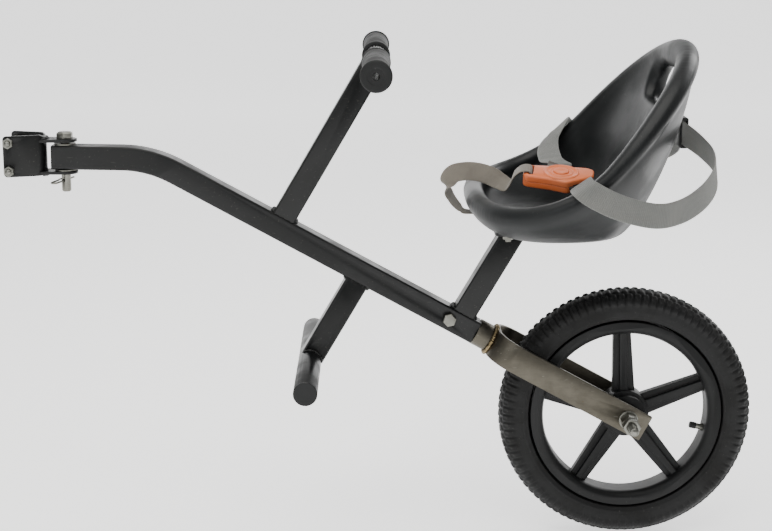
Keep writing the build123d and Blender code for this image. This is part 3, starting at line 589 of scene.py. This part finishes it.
def weldBead(path, radius, seed):
    # r = R * (1 + swell * |sin(pi s / ripple)| + slow lumps), tapered at both ends
    points = resample(np.array(path, float), welds["step"])
    s = np.arange(len(points)) * welds["step"]
    lumps = 0.1 * np.sin(s * 0.9 + seed) + 0.07 * np.sin(s * 2.3 + 2 * seed)
    ends = np.minimum(s, s[-1] - s)
    taper = np.sqrt(np.clip(ends / (1.2 * radius), 0.03, 1))
    r = radius * (1 + welds["swell"] * (np.abs(np.sin(math.pi * s / welds["ripple"])) - 0.5) + lumps) * taper
    sway = 0.25 * np.sin(s * 1.1 + seed)
    points = points + sway[:, None] * np.array((0.3, 0.2, 0.3))
    return tubeAlong(points, r, welds["segments"]) * mm


def arcPath(centre, axisX, axisY, radius, startDeg, endDeg):
    turn = np.radians(np.linspace(startDeg, endDeg, 90))[:, None]
    return np.array(centre) + radius * (np.cos(turn) * np.array(axisX) + np.sin(turn) * np.array(axisY))


boom = {
    "vertex": (128.4, -4.5), "angle": 28.75, "post": 59.65, "half": 12.7, "crown": 422.0, "stem": 14.9,
    "posts": ((155.9, 1), (259.9, -1), (379.4, 1)),
}
cornerBeads = {"proud": 0.7, "setIn": 2.2, "sides": ((1.9, 0.3), (2.3, 0.5), (1.9, 0.8), (2.3, 1.1))}
barBeads = {"aside": 13.4, "reach": 62, "proud": 0.6, "radius": 1.6}
yokeBeads = {"levels": (16.8, -20.9), "ring": 17.4, "reach": 42, "radius": 2.0, "seed": 0.7}
boomDir = np.array([math.cos(math.radians(boom["angle"])), 0, -math.sin(math.radians(boom["angle"]))])
boomUp = np.array([-boomDir[2], 0, boomDir[0]])
postDir = np.array([math.cos(math.radians(boom["post"])), 0, math.sin(math.radians(boom["post"]))])


def onBoom(station, rise, y=0.0):
    return np.array([boom["vertex"][0], y, boom["vertex"][1]]) + station * boomDir + rise * boomUp


crownBead = arcPath(onBoom(boom["crown"] - 1.2, 0), (0, 1, 0), boomUp, boom["stem"] + 1.0, 0, 362)
makePiece(
    "crownBead", [(weldBead(crownBead, 2.3, 1.0), "tube")], "weldMetal", "trailer",
    replaced=["crown_weld"],
)

lean = math.radians(boom["post"] + boom["angle"] - 90)
seams = []
for i, (station, way) in enumerate(boom["posts"]):
    middle = station - way * boom["half"] * math.tan(lean)
    half = boom["half"] / math.cos(lean)
    proud, setIn = cornerBeads["proud"], cornerBeads["setIn"]
    ring = [(-1, -1), (1, -1), (1, 1), (-1, 1), (-1, -1)]
    corners = [
        onBoom(middle + a * (half + proud), way * (boom["half"] + proud), b * (boom["half"] - setIn))
        for a, b in ring
    ]
    for k, (radius, seed) in enumerate(cornerBeads["sides"]):
        seams.append((weldBead(corners[k : k + 2], radius, i + seed), "tube"))
crossbars = ((handlebarAt / mm, 11.1, -1), (middleOf("footrest_tube") / mm, 12.7, 1))
across = np.cross((0, 1, 0), postDir)
for i, (at, radius, way) in enumerate(crossbars):
    for side in (-1, 1):
        middle = at + np.array((0, side * barBeads["aside"], 0))
        reach = barBeads["reach"]
        seam = arcPath(middle, way * postDir, across, radius + barBeads["proud"], -reach, reach)
        seams.append((weldBead(seam, barBeads["radius"], i + side), "tube"))
makePiece("frameBeads", seams, "blackPaint", "trailer", replaced=["frame_welds"])

yoke = []
for i, z in enumerate(yokeBeads["levels"]):
    reach = yokeBeads["reach"]
    seam = arcPath((0, 0, z), (1, 0, 0), (0, 1, 0), yokeBeads["ring"], -reach, reach)
    yoke.append((weldBead(seam, yokeBeads["radius"], i + yokeBeads["seed"]), "tube"))
makePiece("yokeBeads", yoke, "blackPaint", "hitch", replaced=["hitch_welds"])
print("weld beads ready")

# grips

grip = {
    "inner": 37.0, "outer": 188.0, "barrel": 14.4, "collar": 15.5, "flange": 15.9, "bore": 11.15, "hole": 3.4,
}


def gripProfile(side):
    g = grip
    corners = [
        (g["inner"], g["bore"]), (g["inner"], g["barrel"]), (g["inner"] + 1, g["collar"]),
        (g["inner"] + 5.5, g["collar"]), (g["inner"] + 8.5, g["barrel"]), (g["outer"] - 8, g["barrel"]),
        (g["outer"] - 6, g["flange"]), (g["outer"] - 1.4, g["flange"]), (g["outer"], g["flange"] - 1.4),
        (g["outer"], 9.0), (g["outer"] - 0.7, 8.2), (g["outer"] - 0.7, g["hole"]),
        (g["outer"] - 3.7, g["hole"]),
        (g["outer"] - 3.7, g["bore"]),
    ]
    outline = roundedProfile(corners, 0.3, 1.6)
    outline[:, 0] *= side
    return outline * mm


def gripRibs(y, r, turn):
    # shallow rings round the barrel, a hand's width long
    s = np.abs(y) / mm
    inside = np.clip((s - 52) / 4, 0, 1) * np.clip((172 - s) / 4, 0, 1) * (r > 13.5 * mm)
    return -0.16 * mm * inside * np.clip(np.cos(2 * math.pi * s / 6.0) - 0.55, 0, 1) / 0.45 + 0 * turn


for name, side in (("leftGrip", -1), ("rightGrip", 1)):
    surface = revolved(gripProfile(side), handlebarAt * (1, 0, 1), 72, gripRibs)
    node = "left_grip" if side < 0 else "right_grip"
    makePiece(name, [(surface, "ring")], "gripRubber", "trailer", replaced=[node])
print("grips ready")

# tyre

tyre = {
    "blocks": 94, "perBlock": 10, "half": 23.2, "bead": 101.7, "block": 1.6,
    "crownR": 138.5, "widestR": 118.5, "footR": 90.0, "seatR": 107.0, "seatHalf": 17.0,
    "treadFrom": 122.0, "sideTo": 127.0, "hairs": 40,
    # low and high distance from the middle, softness of the edge, share of the pitch
    "shoulder": (12.6, 21.4, 1.0, 0.68), "hollow": (14.8, 19.0, 0.8, 0.42), "centre": (1.2, 11.0, 0.8, 0.62),
    # radius, outer and inner softness and height of each ring on the wall
    "rings": ((112.5, 1.1, 0.4, 0.35), (108.6, 0.7, 0.2, 0.3), (125.0, 0.9, 0.3, 0.25)),
}


def smoothStep(x, low, high):
    t = np.clip((x - low) / (high - low), 0, 1)
    return t * t * (3 - 2 * t)


def tyreSection():
    # outer line: an ellipse-like crown and wall; inner line: the same, one wall in
    q = tyre
    t = np.radians(np.linspace(-128, 128, 76))
    y = q["half"] * np.sin(t) * (1 - 0.08 * np.sin(t) ** 6)
    lift = np.cos(t)
    crown = (q["crownR"] - q["widestR"]) * np.clip(lift, 0, 1) ** 0.86
    r = q["widestR"] + np.where(lift > 0, crown, (q["widestR"] - q["footR"]) * 0.62 * lift)
    r = np.maximum(r, q["bead"] + 0.4)
    y = np.where(r < q["seatR"], np.clip(y, -q["seatHalf"], q["seatHalf"]), y)
    innerT = t[::-1][4:-4:3]
    innerY = (q["half"] - 4) * np.sin(innerT)
    innerR = np.maximum(117.5 + np.where(np.cos(innerT) > 0, 16.5, 20.0) * np.cos(innerT), q["bead"])
    section = np.concatenate([np.stack([y, r], 1), np.stack([innerY * 0.86, innerR], 1)])
    return section, len(t)


def blockWave(phase, share):
    # one inside a share of each pitch, with soft ends
    return smoothStep(share / 2 - np.abs(phase - 0.5), -0.05, 0.06)


def band(distance, low, high, soft):
    return smoothStep(distance, low, low + soft) * smoothStep(-distance, -high, -high + soft)


def tyreSurface():
    # the section turned about the axle, lifted along its normal by blocks, rings and moulding hairs
    q = tyre
    section, outerRows = tyreSection()
    turn = np.linspace(0, 2 * math.pi, q["blocks"] * q["perBlock"], endpoint=False)[None, :]
    y, r = section[:, 0][:, None], section[:, 1][:, None]
    outer = (np.arange(len(section)) < outerRows)[:, None]
    phase = (turn * q["blocks"] / (2 * math.pi)) % 1.0
    shifted = (phase + 0.5) % 1.0
    aside, onTread = np.abs(y), r > q["treadFrom"]
    shoulder = blockWave(phase, q["shoulder"][3]) * band(aside, *q["shoulder"][:3]) * onTread
    hollow = blockWave(phase, q["hollow"][3]) * band(aside, *q["hollow"][:3]) * onTread
    centre = blockWave(np.where(y > 0, phase, shifted), q["centre"][3]) * band(aside, *q["centre"][:3])
    tread = q["block"] * np.maximum(shoulder - 0.45 * hollow, centre * onTread)
    marks = sum(h * smoothStep(-np.abs(r - at), -wide, -narrow) for at, wide, narrow, h in q["rings"])
    hairPhase = (turn * q["hairs"] / (2 * math.pi)) % 1.0
    hair = 0.25 * blockWave(hairPhase, 0.08) * smoothStep(-np.abs(r - 117.0), -3.0, -2.0)
    normalY, normalR = y / q["half"] * 0.9, np.clip((r - 112) / 26, 0.05, 1)
    length = np.sqrt(normalY**2 + normalR**2)
    rise = outer * (tread + (marks + hair) * (r < q["sideTo"]))
    newY = y + rise * normalY / length
    newR = r + rise * normalR / length
    grid = np.stack([newR * np.cos(turn), newY + 0 * turn, newR * np.sin(turn)], axis=-1)
    return wheelAt * (1, 0, 1) + grid * mm


makePiece("treadedTyre", [(tyreSurface(), "ring")], "tyreRubber", "wheel", replaced=["tyre"])
print("tyre ready")

# bucket seat

seat = {
    "sideX": 591.0, "sideY": 171.0, "sideZ": -9.0, "backX": 108.0, "backZ": 119.0,
    "frontX": 113.0, "frontDrop": 38.0, "rollR": 11.5, "rollBack": 1.0,
    "outer": {"x": 569.0, "halfX": 66.0, "halfY": 94.0, "z": -80.0, "swell": 1.32},
    "inner": {"x": 562.0, "halfX": 52.0, "halfY": 80.0, "z": -66.0, "swellSide": 1.7, "swellBack": 1.04},
    "voxel": 2.2, "down": 40, "smoothing": 16,
}


def rimLine():
    # back half: an ellipse leaning back; front half: a superellipse that drops as it comes forward
    q = seat
    turn = np.linspace(0, math.pi, 120, endpoint=False)
    backX, backZ = q["sideX"] + q["backX"] * np.sin(turn), q["sideZ"] + q["backZ"] * np.sin(turn)
    back = np.stack([backX, q["sideY"] * np.cos(turn), backZ], 1)
    flat = np.abs(np.sin(turn)) ** (2 / 2.7)
    wide = np.sign(np.cos(turn)) * np.abs(np.cos(turn)) ** (2 / 2.7)
    fall = q["frontDrop"] * (1 - (1 - flat) ** 2.4)
    front = np.stack([q["sideX"] - q["frontX"] * flat, -q["sideY"] * wide, q["sideZ"] - fall], 1)
    line = np.concatenate([back, front])
    line = resample(np.concatenate([line, line[:1]]), 4.0)[:-1]
    return blurClosed(line, 3.0)


def baseRing(shape, angle):
    # superellipse of exponent 2.5 at a constant height
    cosA, sinA = np.cos(angle), np.sin(angle)
    reach = (np.abs(cosA) ** 2.5 + np.abs(sinA) ** 2.5) ** (-1 / 2.5)
    level = np.full(len(angle), shape["z"])
    return np.stack([shape["x"] + shape["halfX"] * reach * cosA, shape["halfY"] * reach * sinA, level], 1)


def wallRows(base, top, swell):
    # from base to top: across goes as (1 - (1 - v)^n)^(1 / n) while the height goes as v
    v = np.linspace(0, 1, seat["down"])[:, None]
    across = (1 - (1 - v) ** swell) ** (1 / swell)
    flat = base[None, :, :2] + (top - base)[None, :, :2] * across[..., None]
    height = base[None, :, 2] + (top - base)[None, :, 2] * v
    return np.concatenate([flat, height[..., None]], axis=-1)


def bucketSurface():
    # outer floor, outer wall, rolled rim, inner wall, inner floor
    q = seat
    line = rimLine()
    angle = np.arctan2(line[:, 1] / q["sideY"], (line[:, 0] - 583) / 110)
    tangent = np.roll(line, -1, 0) - np.roll(line, 1, 0)
    outward = np.stack([tangent[:, 1], -tangent[:, 0], np.zeros(len(line))], 1)
    outward /= np.linalg.norm(outward, axis=1)[:, None]
    outward *= np.sign((outward[:, :2] * (line[:, :2] - (583, 0))).sum(1))[:, None]
    rise = np.clip((line[:, 2] - q["sideZ"]) / q["backZ"], 0, 1)
    radius = (q["rollR"] + q["rollBack"] * rise)[None, :, None]
    arc = np.radians(np.linspace(-55, 200, 26))[:, None, None]
    roll = line[None] + radius * (np.cos(arc) * outward[None] + np.sin(arc) * np.array((0, 0, 1.0)))
    outerBase = baseRing(q["outer"], angle)
    innerBase = baseRing(q["inner"], angle)
    back = np.clip(np.cos(angle), 0, 1) ** 2
    swellSide, swellBack = q["inner"]["swellSide"], q["inner"]["swellBack"]
    innerSwell = (swellSide + (swellBack - swellSide) * back)[None, :]
    outerWall = wallRows(outerBase, roll[0], q["outer"]["swell"])[:-1]
    innerWall = wallRows(innerBase, roll[-1], innerSwell)[::-1][1:]
    share = np.linspace(0.0, 0.94, 12)[:, None, None]
    outerFloor = np.array([q["outer"]["x"], 0, q["outer"]["z"]]) * (1 - share) + outerBase[None] * share
    innerFloor = np.array([q["inner"]["x"], 0, q["inner"]["z"]]) * (1 - share) + innerBase[None] * share
    return np.concatenate([outerFloor, outerWall, roll, innerWall, innerFloor[::-1]])


slot = {"x": 684.0, "z": 72.0, "tilt": 22.0, "length": 58.0, "height": 20.5, "round": 9.0, "flare": 0.62}


def slotCutter():
    # a stadium carried through the back, wider away from the middle so both its edges are rounded
    tilt = math.radians(slot["tilt"])
    outward = np.array([math.cos(tilt), 0, -math.sin(tilt)])
    upward = np.array([math.sin(tilt), 0, math.cos(tilt)])
    w = np.concatenate([np.linspace(-40, -9, 8), np.linspace(-8, 8, 17), np.linspace(9, 40, 8)])
    r = slot["round"]
    rounded = r - np.sqrt(np.clip(r**2 - w**2, 0, None))
    funnel = r * 0.4 + (np.abs(w) - r * 0.8) * slot["flare"]
    flare = np.where(np.abs(w) <= r * 0.8, rounded, funnel)
    turn = np.linspace(0, 2 * math.pi, 96, endpoint=False)[None, :]
    cosT, sinT = np.cos(turn), np.sin(turn)
    reach = slot["height"] + flare[:, None]
    y = np.sign(cosT) * (slot["length"] - slot["height"]) * smoothStep(np.abs(cosT), 0, 0.35) + reach * cosT
    z = reach * sinT
    centre = np.array([slot["x"], 0, slot["z"]])
    sideways = y[..., None] * np.array((0, 1, 0))
    return centre + w[:, None, None] * outward + z[..., None] * upward + sideways


def buildSeat():
    surfaces = [(bucketSurface() * mm, "sheath")]
    shell = makePiece("bucketShell", surfaces, "seatPlastic", "trailer")
    cutter = makePiece("slotTool", [(slotCutter() * mm, "tube")], "seatPlastic", "trailer")
    addModifier(shell, "BOOLEAN", operation="DIFFERENCE", object=cutter, solver="EXACT")
    addModifier(shell, "REMESH", mode="VOXEL", voxel_size=seat["voxel"] * mm)
    addModifier(shell, "SMOOTH", factor=0.5, iterations=seat["smoothing"])
    applyModifiers(shell)
    bpy.data.objects.remove(cutter)
    shell.data.shade_smooth()
    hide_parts("seat_shell")
    return shell


bucket = buildSeat()
print("seat ready:", len(bucket.data.polygons), "faces")

# harness

webbing = {"width": 25.0, "thick": 1.6, "step": 0.48, "rib": 0.1, "pitch": 1.9, "around": 26}


def smoothRoute(points, step):
    # Catmull-Rom curve through the route, then even spacing
    p = np.concatenate([[2 * points[0] - points[1]], points, [2 * points[-1] - points[-2]]])
    t = np.linspace(0, 1, 24, endpoint=False)[None, :, None]
    a, b, c, d = (p[i : len(p) - 3 + i][:, None, :] for i in range(4))
    curve = 0.5 * (2 * b + (c - a) * t + (2 * a - 5 * b + 4 * c - d) * t**2 + (3 * b - a - 3 * c + d) * t**3)
    curve = np.concatenate([curve.reshape(-1, p.shape[1]), points[-1:]])
    run = np.concatenate([[0], np.cumsum(np.linalg.norm(np.diff(curve[:, :3], axis=0), axis=1))])
    at = np.linspace(0, run[-1], int(run[-1] / step) + 1)
    return np.stack([np.interp(at, run, curve[:, i]) for i in range(p.shape[1])], axis=1), run[-1]


def strapSurface(route, width, thick, rib, pitch):
    # a rounded oblong section carried along the route, ribbed by sin(2 pi s / pitch)
    table = np.array([tuple(at) + tuple(side) for at, side in route], float)
    line, length = smoothRoute(table, webbing["step"])
    centre, side = line[:, :3], line[:, 3:]
    along = np.gradient(centre, axis=0)
    along /= np.linalg.norm(along, axis=1)[:, None]
    side = side - along * (side * along).sum(1)[:, None]
    side /= np.linalg.norm(side, axis=1)[:, None]
    face = np.cross(along, side)
    turn = np.linspace(0, 2 * math.pi, webbing["around"], endpoint=False)[None, :]
    x = width / 2 * np.sign(np.cos(turn)) * np.abs(np.cos(turn)) ** 0.42
    z = thick / 2 * np.sign(np.sin(turn)) * np.abs(np.sin(turn)) ** 0.6
    s = np.linspace(0, length, len(centre))[:, None]
    flat = smoothStep(width / 2 - np.abs(x), 0.6, 1.6)
    edge = 0.12 * smoothStep(np.abs(x), width / 2 - 2.2, width / 2 - 1.4) * flat
    z = z + np.sign(z) * (rib * np.sin(2 * math.pi * s / pitch) * flat + edge)
    grid = centre[:, None, :] + x[..., None] * side[:, None, :] + z[..., None] * face[:, None, :]
    maps = np.stack([s + 0 * x, x + 0 * s], axis=-1) * mm
    return grid * mm, maps


buckle = {
    "at": np.array((562.0, -62.0, -17.0)), "long": np.array((0.985818, -0.159957, -0.050756)),
    "across": np.array((0.167456, 0.957462, 0.234999)), "face": np.array((0.011008, -0.240166, 0.97067)),
    "half": 7.0, "disc": (2.0, -1.0), "round": 2.4,
    "outline": (
        (-37, -11), (-32, -15), (-8, -19), (10, -25), (36, -4), (36, 13), (28, 18), (-30, 15), (-37, 10),
    ),
    "bar": (-29, 0, 5, 23.4, -12, 12, 3), "bore": (8.2, (2.8, 8.0, 14.0)), "pocket": (18, 18.6, 1.75),
}
mouths = {"left": (23.2, -14.7, -51.0), "right": (-1.0, 16.6, 93.0)}


def onBuckle(x, y, z):
    b = buckle
    return b["at"] + x * b["long"] + y * b["across"] + z * b["face"]


def onMouth(name, x, y, z):
    mx, my, degrees = mouths[name]
    c, s = math.cos(math.radians(degrees)), math.sin(math.radians(degrees))
    return onBuckle(mx + x * c - y * s, my + x * s + y * c, z)


def mouthSide(name):
    side = onMouth(name, 0, 1, 0) - onMouth(name, 0, 0, 0)
    return side if side[0] > 0 else -side


def tongueEnd(name):
    stops = ((6, -4), (6, 1), (8.4, 3.2), (14, 4.2))
    return [(onMouth(name, x, 0, z), mouthSide(name)) for x, z in stops]


lapRoutes = {
    "left": [
        ((589, -107, -20), (1, 0, 0.1)), ((581, -138, -15), (0.95, 0, 0.3)),
        ((573, -158, -7), (0.82, 0, 0.57)),
        ((573, -187, -7), (0.82, 0, 0.57)), ((583, -196, -13), (0.65, 0, 0.75)),
        ((602, -199, -22), (0.35, 0, 0.93)),
        ((624, -198, -29), (0.2, 0, 0.97)), ((644, -193, -33), (0.1, 0, 1)), ((662, -181, -33), (0, 0, 1)),
        ((682, -162, -29), (-0.1, 0, 1)), ((702, -138, -20), (-0.2, -0.1, 1)),
        ((716, -109, -9), (-0.2, -0.2, 1)),
        ((720, -78, 3), (-0.1, -0.3, 1)), ((712, -45, 14), (0, -0.3, 1)), ((700, -16, 23), (0, 0, 1)),
        ((700, 9, 23), (0, 0, 1)),
    ],
    "right": [
        ((561, 0, -8), (1, 0, 0.12)), ((563, 45, -10), (1, 0, 0.2)), ((567, 100, -10), (0.95, 0, 0.3)),
        ((572, 136, -6), (0.88, 0, 0.45)), ((580, 153, 1), (0.8, 0, 0.58)),
        ((588, 168, 8), (0.74, 0, 0.66)),
        ((592, 186, 7), (0.7, 0, 0.7)),
        ((600, 195, -1), (0.6, 0, 0.8)), ((617, 199, -13), (0.4, 0, 0.92)),
        ((638, 195, -23), (0.2, 0, 0.97)),
        ((658, 184, -27), (0, 0, 1)), ((677, 164, -25), (-0.1, 0, 1)), ((694, 138, -18), (-0.2, 0.1, 1)),
        ((706, 109, -8), (-0.2, 0.2, 1)), ((710, 78, 3), (-0.1, 0.3, 1)), ((707, 45, 14), (0, 0.3, 1)),
        ((702.2, 15, 23), (0, 0, 1)), ((702.2, -9, 23), (0, 0, 1)),
    ],
}
for name, route in lapRoutes.items():
    surface, maps = strapSurface(
        tongueEnd(name) + route, webbing["width"], webbing["thick"], webbing["rib"], webbing["pitch"]
    )
    strap = makePiece(
        name + "LapStrap", [(surface, "tube")], "lapWebbing", None,
        replaced=["lap_strap_" + name], maps=maps,
    )
    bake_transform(strap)

crotch = {"width": 20.0, "bar": 8.6}
crotchRoute = [
    ((505, -10, -61), (0, 1, 0)), ((470, -10, -62), (0, 1, 0.05)), ((461, -10, -57), (0, 0.93, 0.37)),
    ((452, -11, -46), (-0.1, 0.65, 0.75)), ((447, -12, -33), (-0.1, 0.3, 0.95)),
    ((453, -13, -21), (0, 0.15, 1)),
    ((466, -16, -17), (0.05, 0.15, 1)), ((480, -21, -17), (0.1, 0.2, 1)),
    ((493, -29, -20), (0.15, 0.35, 0.95)),
    ((503, -37, -25), (0.25, 0.7, 0.7)), ((511, -45, -27), (0.35, 0.85, 0.45)),
]
crotchEnd = [(-47, 0), (-42, 6), (-37, crotch["bar"]), (-31, crotch["bar"]), (-29, 5), (-29, -5)]
crotchRoute += [(onBuckle(x, 0, z), buckle["across"]) for x, z in crotchEnd]
surface, maps = strapSurface(crotchRoute, crotch["width"], webbing["thick"], 0.05, 1.3)
makePiece(
    "crotchStrap", [(surface, "tube")], "crotchWebbing", "trailer",
    replaced=["crotch_strap"], maps=maps,
)
print("straps ready")


def buckleOutline(inset):
    outline = roundedProfile(buckle["outline"], 0.7, 3.0)
    edge = np.roll(outline, -1, 0) - np.roll(outline, 1, 0)
    edge /= np.linalg.norm(edge, axis=1)[:, None]
    inward = np.stack([-edge[:, 1], edge[:, 0]], 1)
    return outline[None] + inset[:, None, None] * inward[None]


def buckleBody():
    # the outline carried up the buckle's thickness, drawn in by a quarter circle at both edges
    q = buckle
    turn = np.radians(np.linspace(0, 90, 7))
    bottom = np.stack([q["round"] * (1 - np.sin(turn)), -q["half"] + q["round"] * (1 - np.cos(turn))], 1)
    seam = np.array([(0, -0.6), (0.35, -0.2), (0.35, 0.2), (0, 0.6)])
    top = bottom[::-1] * (1, -1)
    steps = np.concatenate([bottom, seam, top])
    loops = buckleOutline(steps[:, 0])
    last = loops[-1:]
    middle = last.mean(axis=1, keepdims=True)
    shrink = np.array([0.93, 0.7, 0.4, 0.15])[:, None, None]
    crown = middle + (last - middle) * shrink
    base = middle + (loops[:1] - middle) * shrink[::-1]
    crownRise = np.array([0.25, 0.6, 0.75, 0.8])
    heights = np.concatenate([np.full(4, -q["half"]), steps[:, 1], q["half"] + crownRise])
    loops = np.concatenate([base, loops, crown])
    x, y = loops[..., 0], loops[..., 1]
    z = heights[:, None] + 0 * x
    return onGrid(x, y, z)


def onGrid(x, y, z):
    b = buckle
    grid = b["at"] + x[..., None] * b["long"] + y[..., None] * b["across"] + z[..., None] * b["face"]
    return grid * mm


def discRings():
    # rings about the button: height from a radial profile
    profile = np.array([
        (19.0, 6.6), (18.6, 7.9), (17.6, 8.5), (16.4, 8.4), (15.8, 7.9), (12.6, 7.9), (12.0, 8.5),
        (11.2, 8.6), (10.2, 8.3), (9.4, 8.4), (8.6, 8.4), (8.3, 8.0), (8.3, 5.0),
    ])
    turn = np.linspace(0, 2 * math.pi, 96, endpoint=False)[None, :]
    x = buckle["disc"][0] + profile[:, 0][:, None] * np.cos(turn)
    y = buckle["disc"][1] + profile[:, 0][:, None] * np.sin(turn)
    return onGrid(x, y, profile[:, 1][:, None] + 0 * x)


def boxTool(x, y, sizeX, sizeY, low, high, corner, degrees=0.0):
    # a rounded oblong carried along the buckle's thickness
    a, b = sizeX / 2, sizeY / 2
    outline = roundedProfile(((-a, -b), (a, -b), (a, b), (-a, b)), 0.3, corner)
    c, s = math.cos(math.radians(degrees)), math.sin(math.radians(degrees))
    px = x + outline[:, 0] * c - outline[:, 1] * s
    py = y + outline[:, 0] * s + outline[:, 1] * c
    z = np.array([low, (low + high) / 2, high])[:, None]
    return onGrid(px + 0 * z, py + 0 * z, z + 0 * px)


def buildBuckle():
    body = makePiece("buckleCase", [(buckleBody(), "tube")], "orangePlastic", "trailer")
    shapes = {
        "ringTool": discRings(), "barTool": boxTool(*buckle["bar"]), "leftTool": mouthTool("left"),
        "rightTool": mouthTool("right"), "boreTool": boreTool(),
    }
    tools = [
        makePiece(name, [(shape, "tube")], "orangePlastic", "trailer")
        for name, shape in shapes.items()
    ]
    for i, tool in enumerate(tools):
        operation = "UNION" if i == 0 else "DIFFERENCE"
        addModifier(body, "BOOLEAN", operation=operation, object=tool, solver="EXACT")
    applyModifiers(body)
    for tool in tools:
        bpy.data.objects.remove(tool)
    addModifier(
        body, "BEVEL", width=0.35 * mm, segments=2, limit_method="ANGLE",
        angle_limit=math.radians(40), harden_normals=True, use_clamp_overlap=False,
    )
    body.data.shade_smooth()
    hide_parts("buckle_housing")
    return body


def mouthTool(name):
    # the pocket that takes a tongue's blade, open at the buckle's side
    x, y, degrees = mouths[name]
    c, s = math.cos(math.radians(degrees)), math.sin(math.radians(degrees))
    deep, wide, half = buckle["pocket"]
    return boxTool(x - 4.5 * c, y - 4.5 * s, deep, wide, -half, half, 1.0, degrees)


def boreTool():
    turn = np.linspace(0, 2 * math.pi, 64, endpoint=False)[None, :]
    r, heights = buckle["bore"]
    z = np.array(heights)[:, None]
    x = buckle["disc"][0] + r * np.cos(turn)
    y = buckle["disc"][1] + r * np.sin(turn)
    return onGrid(x + 0 * z, y + 0 * z, z + 0 * x)


buildBuckle()
buttonProfile = np.array([
    (6.0, 6.2), (7.9, 6.25), (8.0, 6.6), (8.0, 8.6), (7.6, 9.2), (6.6, 9.4), (4.0, 9.2), (1.5, 9.0),
])
turn = np.linspace(0, 2 * math.pi, 72, endpoint=False)[None, :]
x = buckle["disc"][0] + buttonProfile[:, 0][:, None] * np.cos(turn)
y = buckle["disc"][1] + buttonProfile[:, 0][:, None] * np.sin(turn)
makePiece(
    "pressButton", [(onGrid(x, y, buttonProfile[:, 1][:, None] + 0 * x), "tube")],
    "orangePlastic", "button", replaced=["buckle_button"],
)
print("buckle ready")

# stage, lights and camera

stage = {"bend": 1.5, "colour": (0.93, 0.93, 0.93), "world": 0.42, "wall": 4.0, "glow": 1.1}


def buildStage():
    # floor and back wall as one sheet: flat, then a quarter bend, then upright
    floorZ = cadBox[0][2]
    s = np.linspace(-5.0, 9.0, 90)[:, None]
    bend = stage["bend"]
    turn = np.clip((s - stage["wall"]) / bend, 0, math.pi / 2)
    y = np.where(s < stage["wall"], s, stage["wall"] + bend * np.sin(turn))
    rise = np.clip(s - stage["wall"] - bend * math.pi / 2, 0, None)
    z = floorZ + bend * (1 - np.cos(turn)) + rise
    x = np.linspace(-7, 7, 24)[None, :]
    grid = np.stack([x + 0 * y, y + 0 * x, z + 0 * x], axis=-1)
    mesh = bpy.data.meshes.new("paleSweep")
    mesh.from_pydata(grid.reshape(-1, 3).tolist(), [], gridQuads(90, 24, False, False)[:, ::-1].tolist())
    mesh.shade_smooth()
    sweep = bpy.data.objects.new("paleSweep", mesh)
    bpy.context.scene.collection.objects.link(sweep)
    material = bpy.data.materials.new("palePaper")
    material.use_nodes = True
    shader = material.node_tree.nodes["Principled BSDF"]
    shader.inputs["Base Color"].default_value = (*stage["colour"], 1)
    shader.inputs["Roughness"].default_value = 0.9
    shader.inputs["Specular IOR Level"].default_value = 0.1
    shader.inputs["Emission Color"].default_value = (1, 1, 1, 1)
    shader.inputs["Emission Strength"].default_value = stage["glow"]
    mesh.materials.append(material)


def addLight(name, place, target, size, power, colour):
    light = bpy.data.lights.new(name, "AREA")
    light.shape = "RECTANGLE"
    light.size, light.size_y = size
    light.energy = power
    light.color = colour
    lamp = bpy.data.objects.new(name, light)
    lamp.location = place
    lamp.rotation_euler = (Vector(target) - Vector(place)).to_track_quat("-Z", "Y").to_euler()
    bpy.context.scene.collection.objects.link(lamp)


buildStage()
world = bpy.data.worlds.new("paleRoom")
bpy.context.scene.world = world
world.use_nodes = True
world.node_tree.nodes["Background"].inputs[0].default_value = (1.0, 1.0, 1.0, 1)
world.node_tree.nodes["Background"].inputs[1].default_value = stage["world"]
addLight("overheadSoft", (0.25, -0.3, 1.7), (0.4, 0, -0.1), (2.2, 1.8), 38, (1.0, 0.985, 0.95))
addLight("frontSoft", (-0.8, -2.0, 0.9), (0.35, 0, -0.1), (1.4, 1.4), 14, (0.97, 0.99, 1.0))
addLight("backEdge", (1.8, 1.2, 1.0), (0.5, 0, -0.1), (1.0, 1.0), 12, (1.0, 1.0, 1.0))

shot = {"place": (0.3694, -1.7663, 0.2634), "aim": (0.00685, 0.9768, -0.2141), "lens": 77.04, "sensor": 36.0}
cameraData = bpy.data.cameras.new("studioCamera")
cameraData.lens = shot["lens"]
cameraData.sensor_width = shot["sensor"]
cameraData.dof.use_dof = False
camera = bpy.data.objects.new("studioCamera", cameraData)
camera.location = shot["place"]
camera.rotation_euler = Vector(shot["aim"]).to_track_quat("-Z", "Y").to_euler()
bpy.context.scene.collection.objects.link(camera)
bpy.context.scene.camera = camera

print("scene ready")
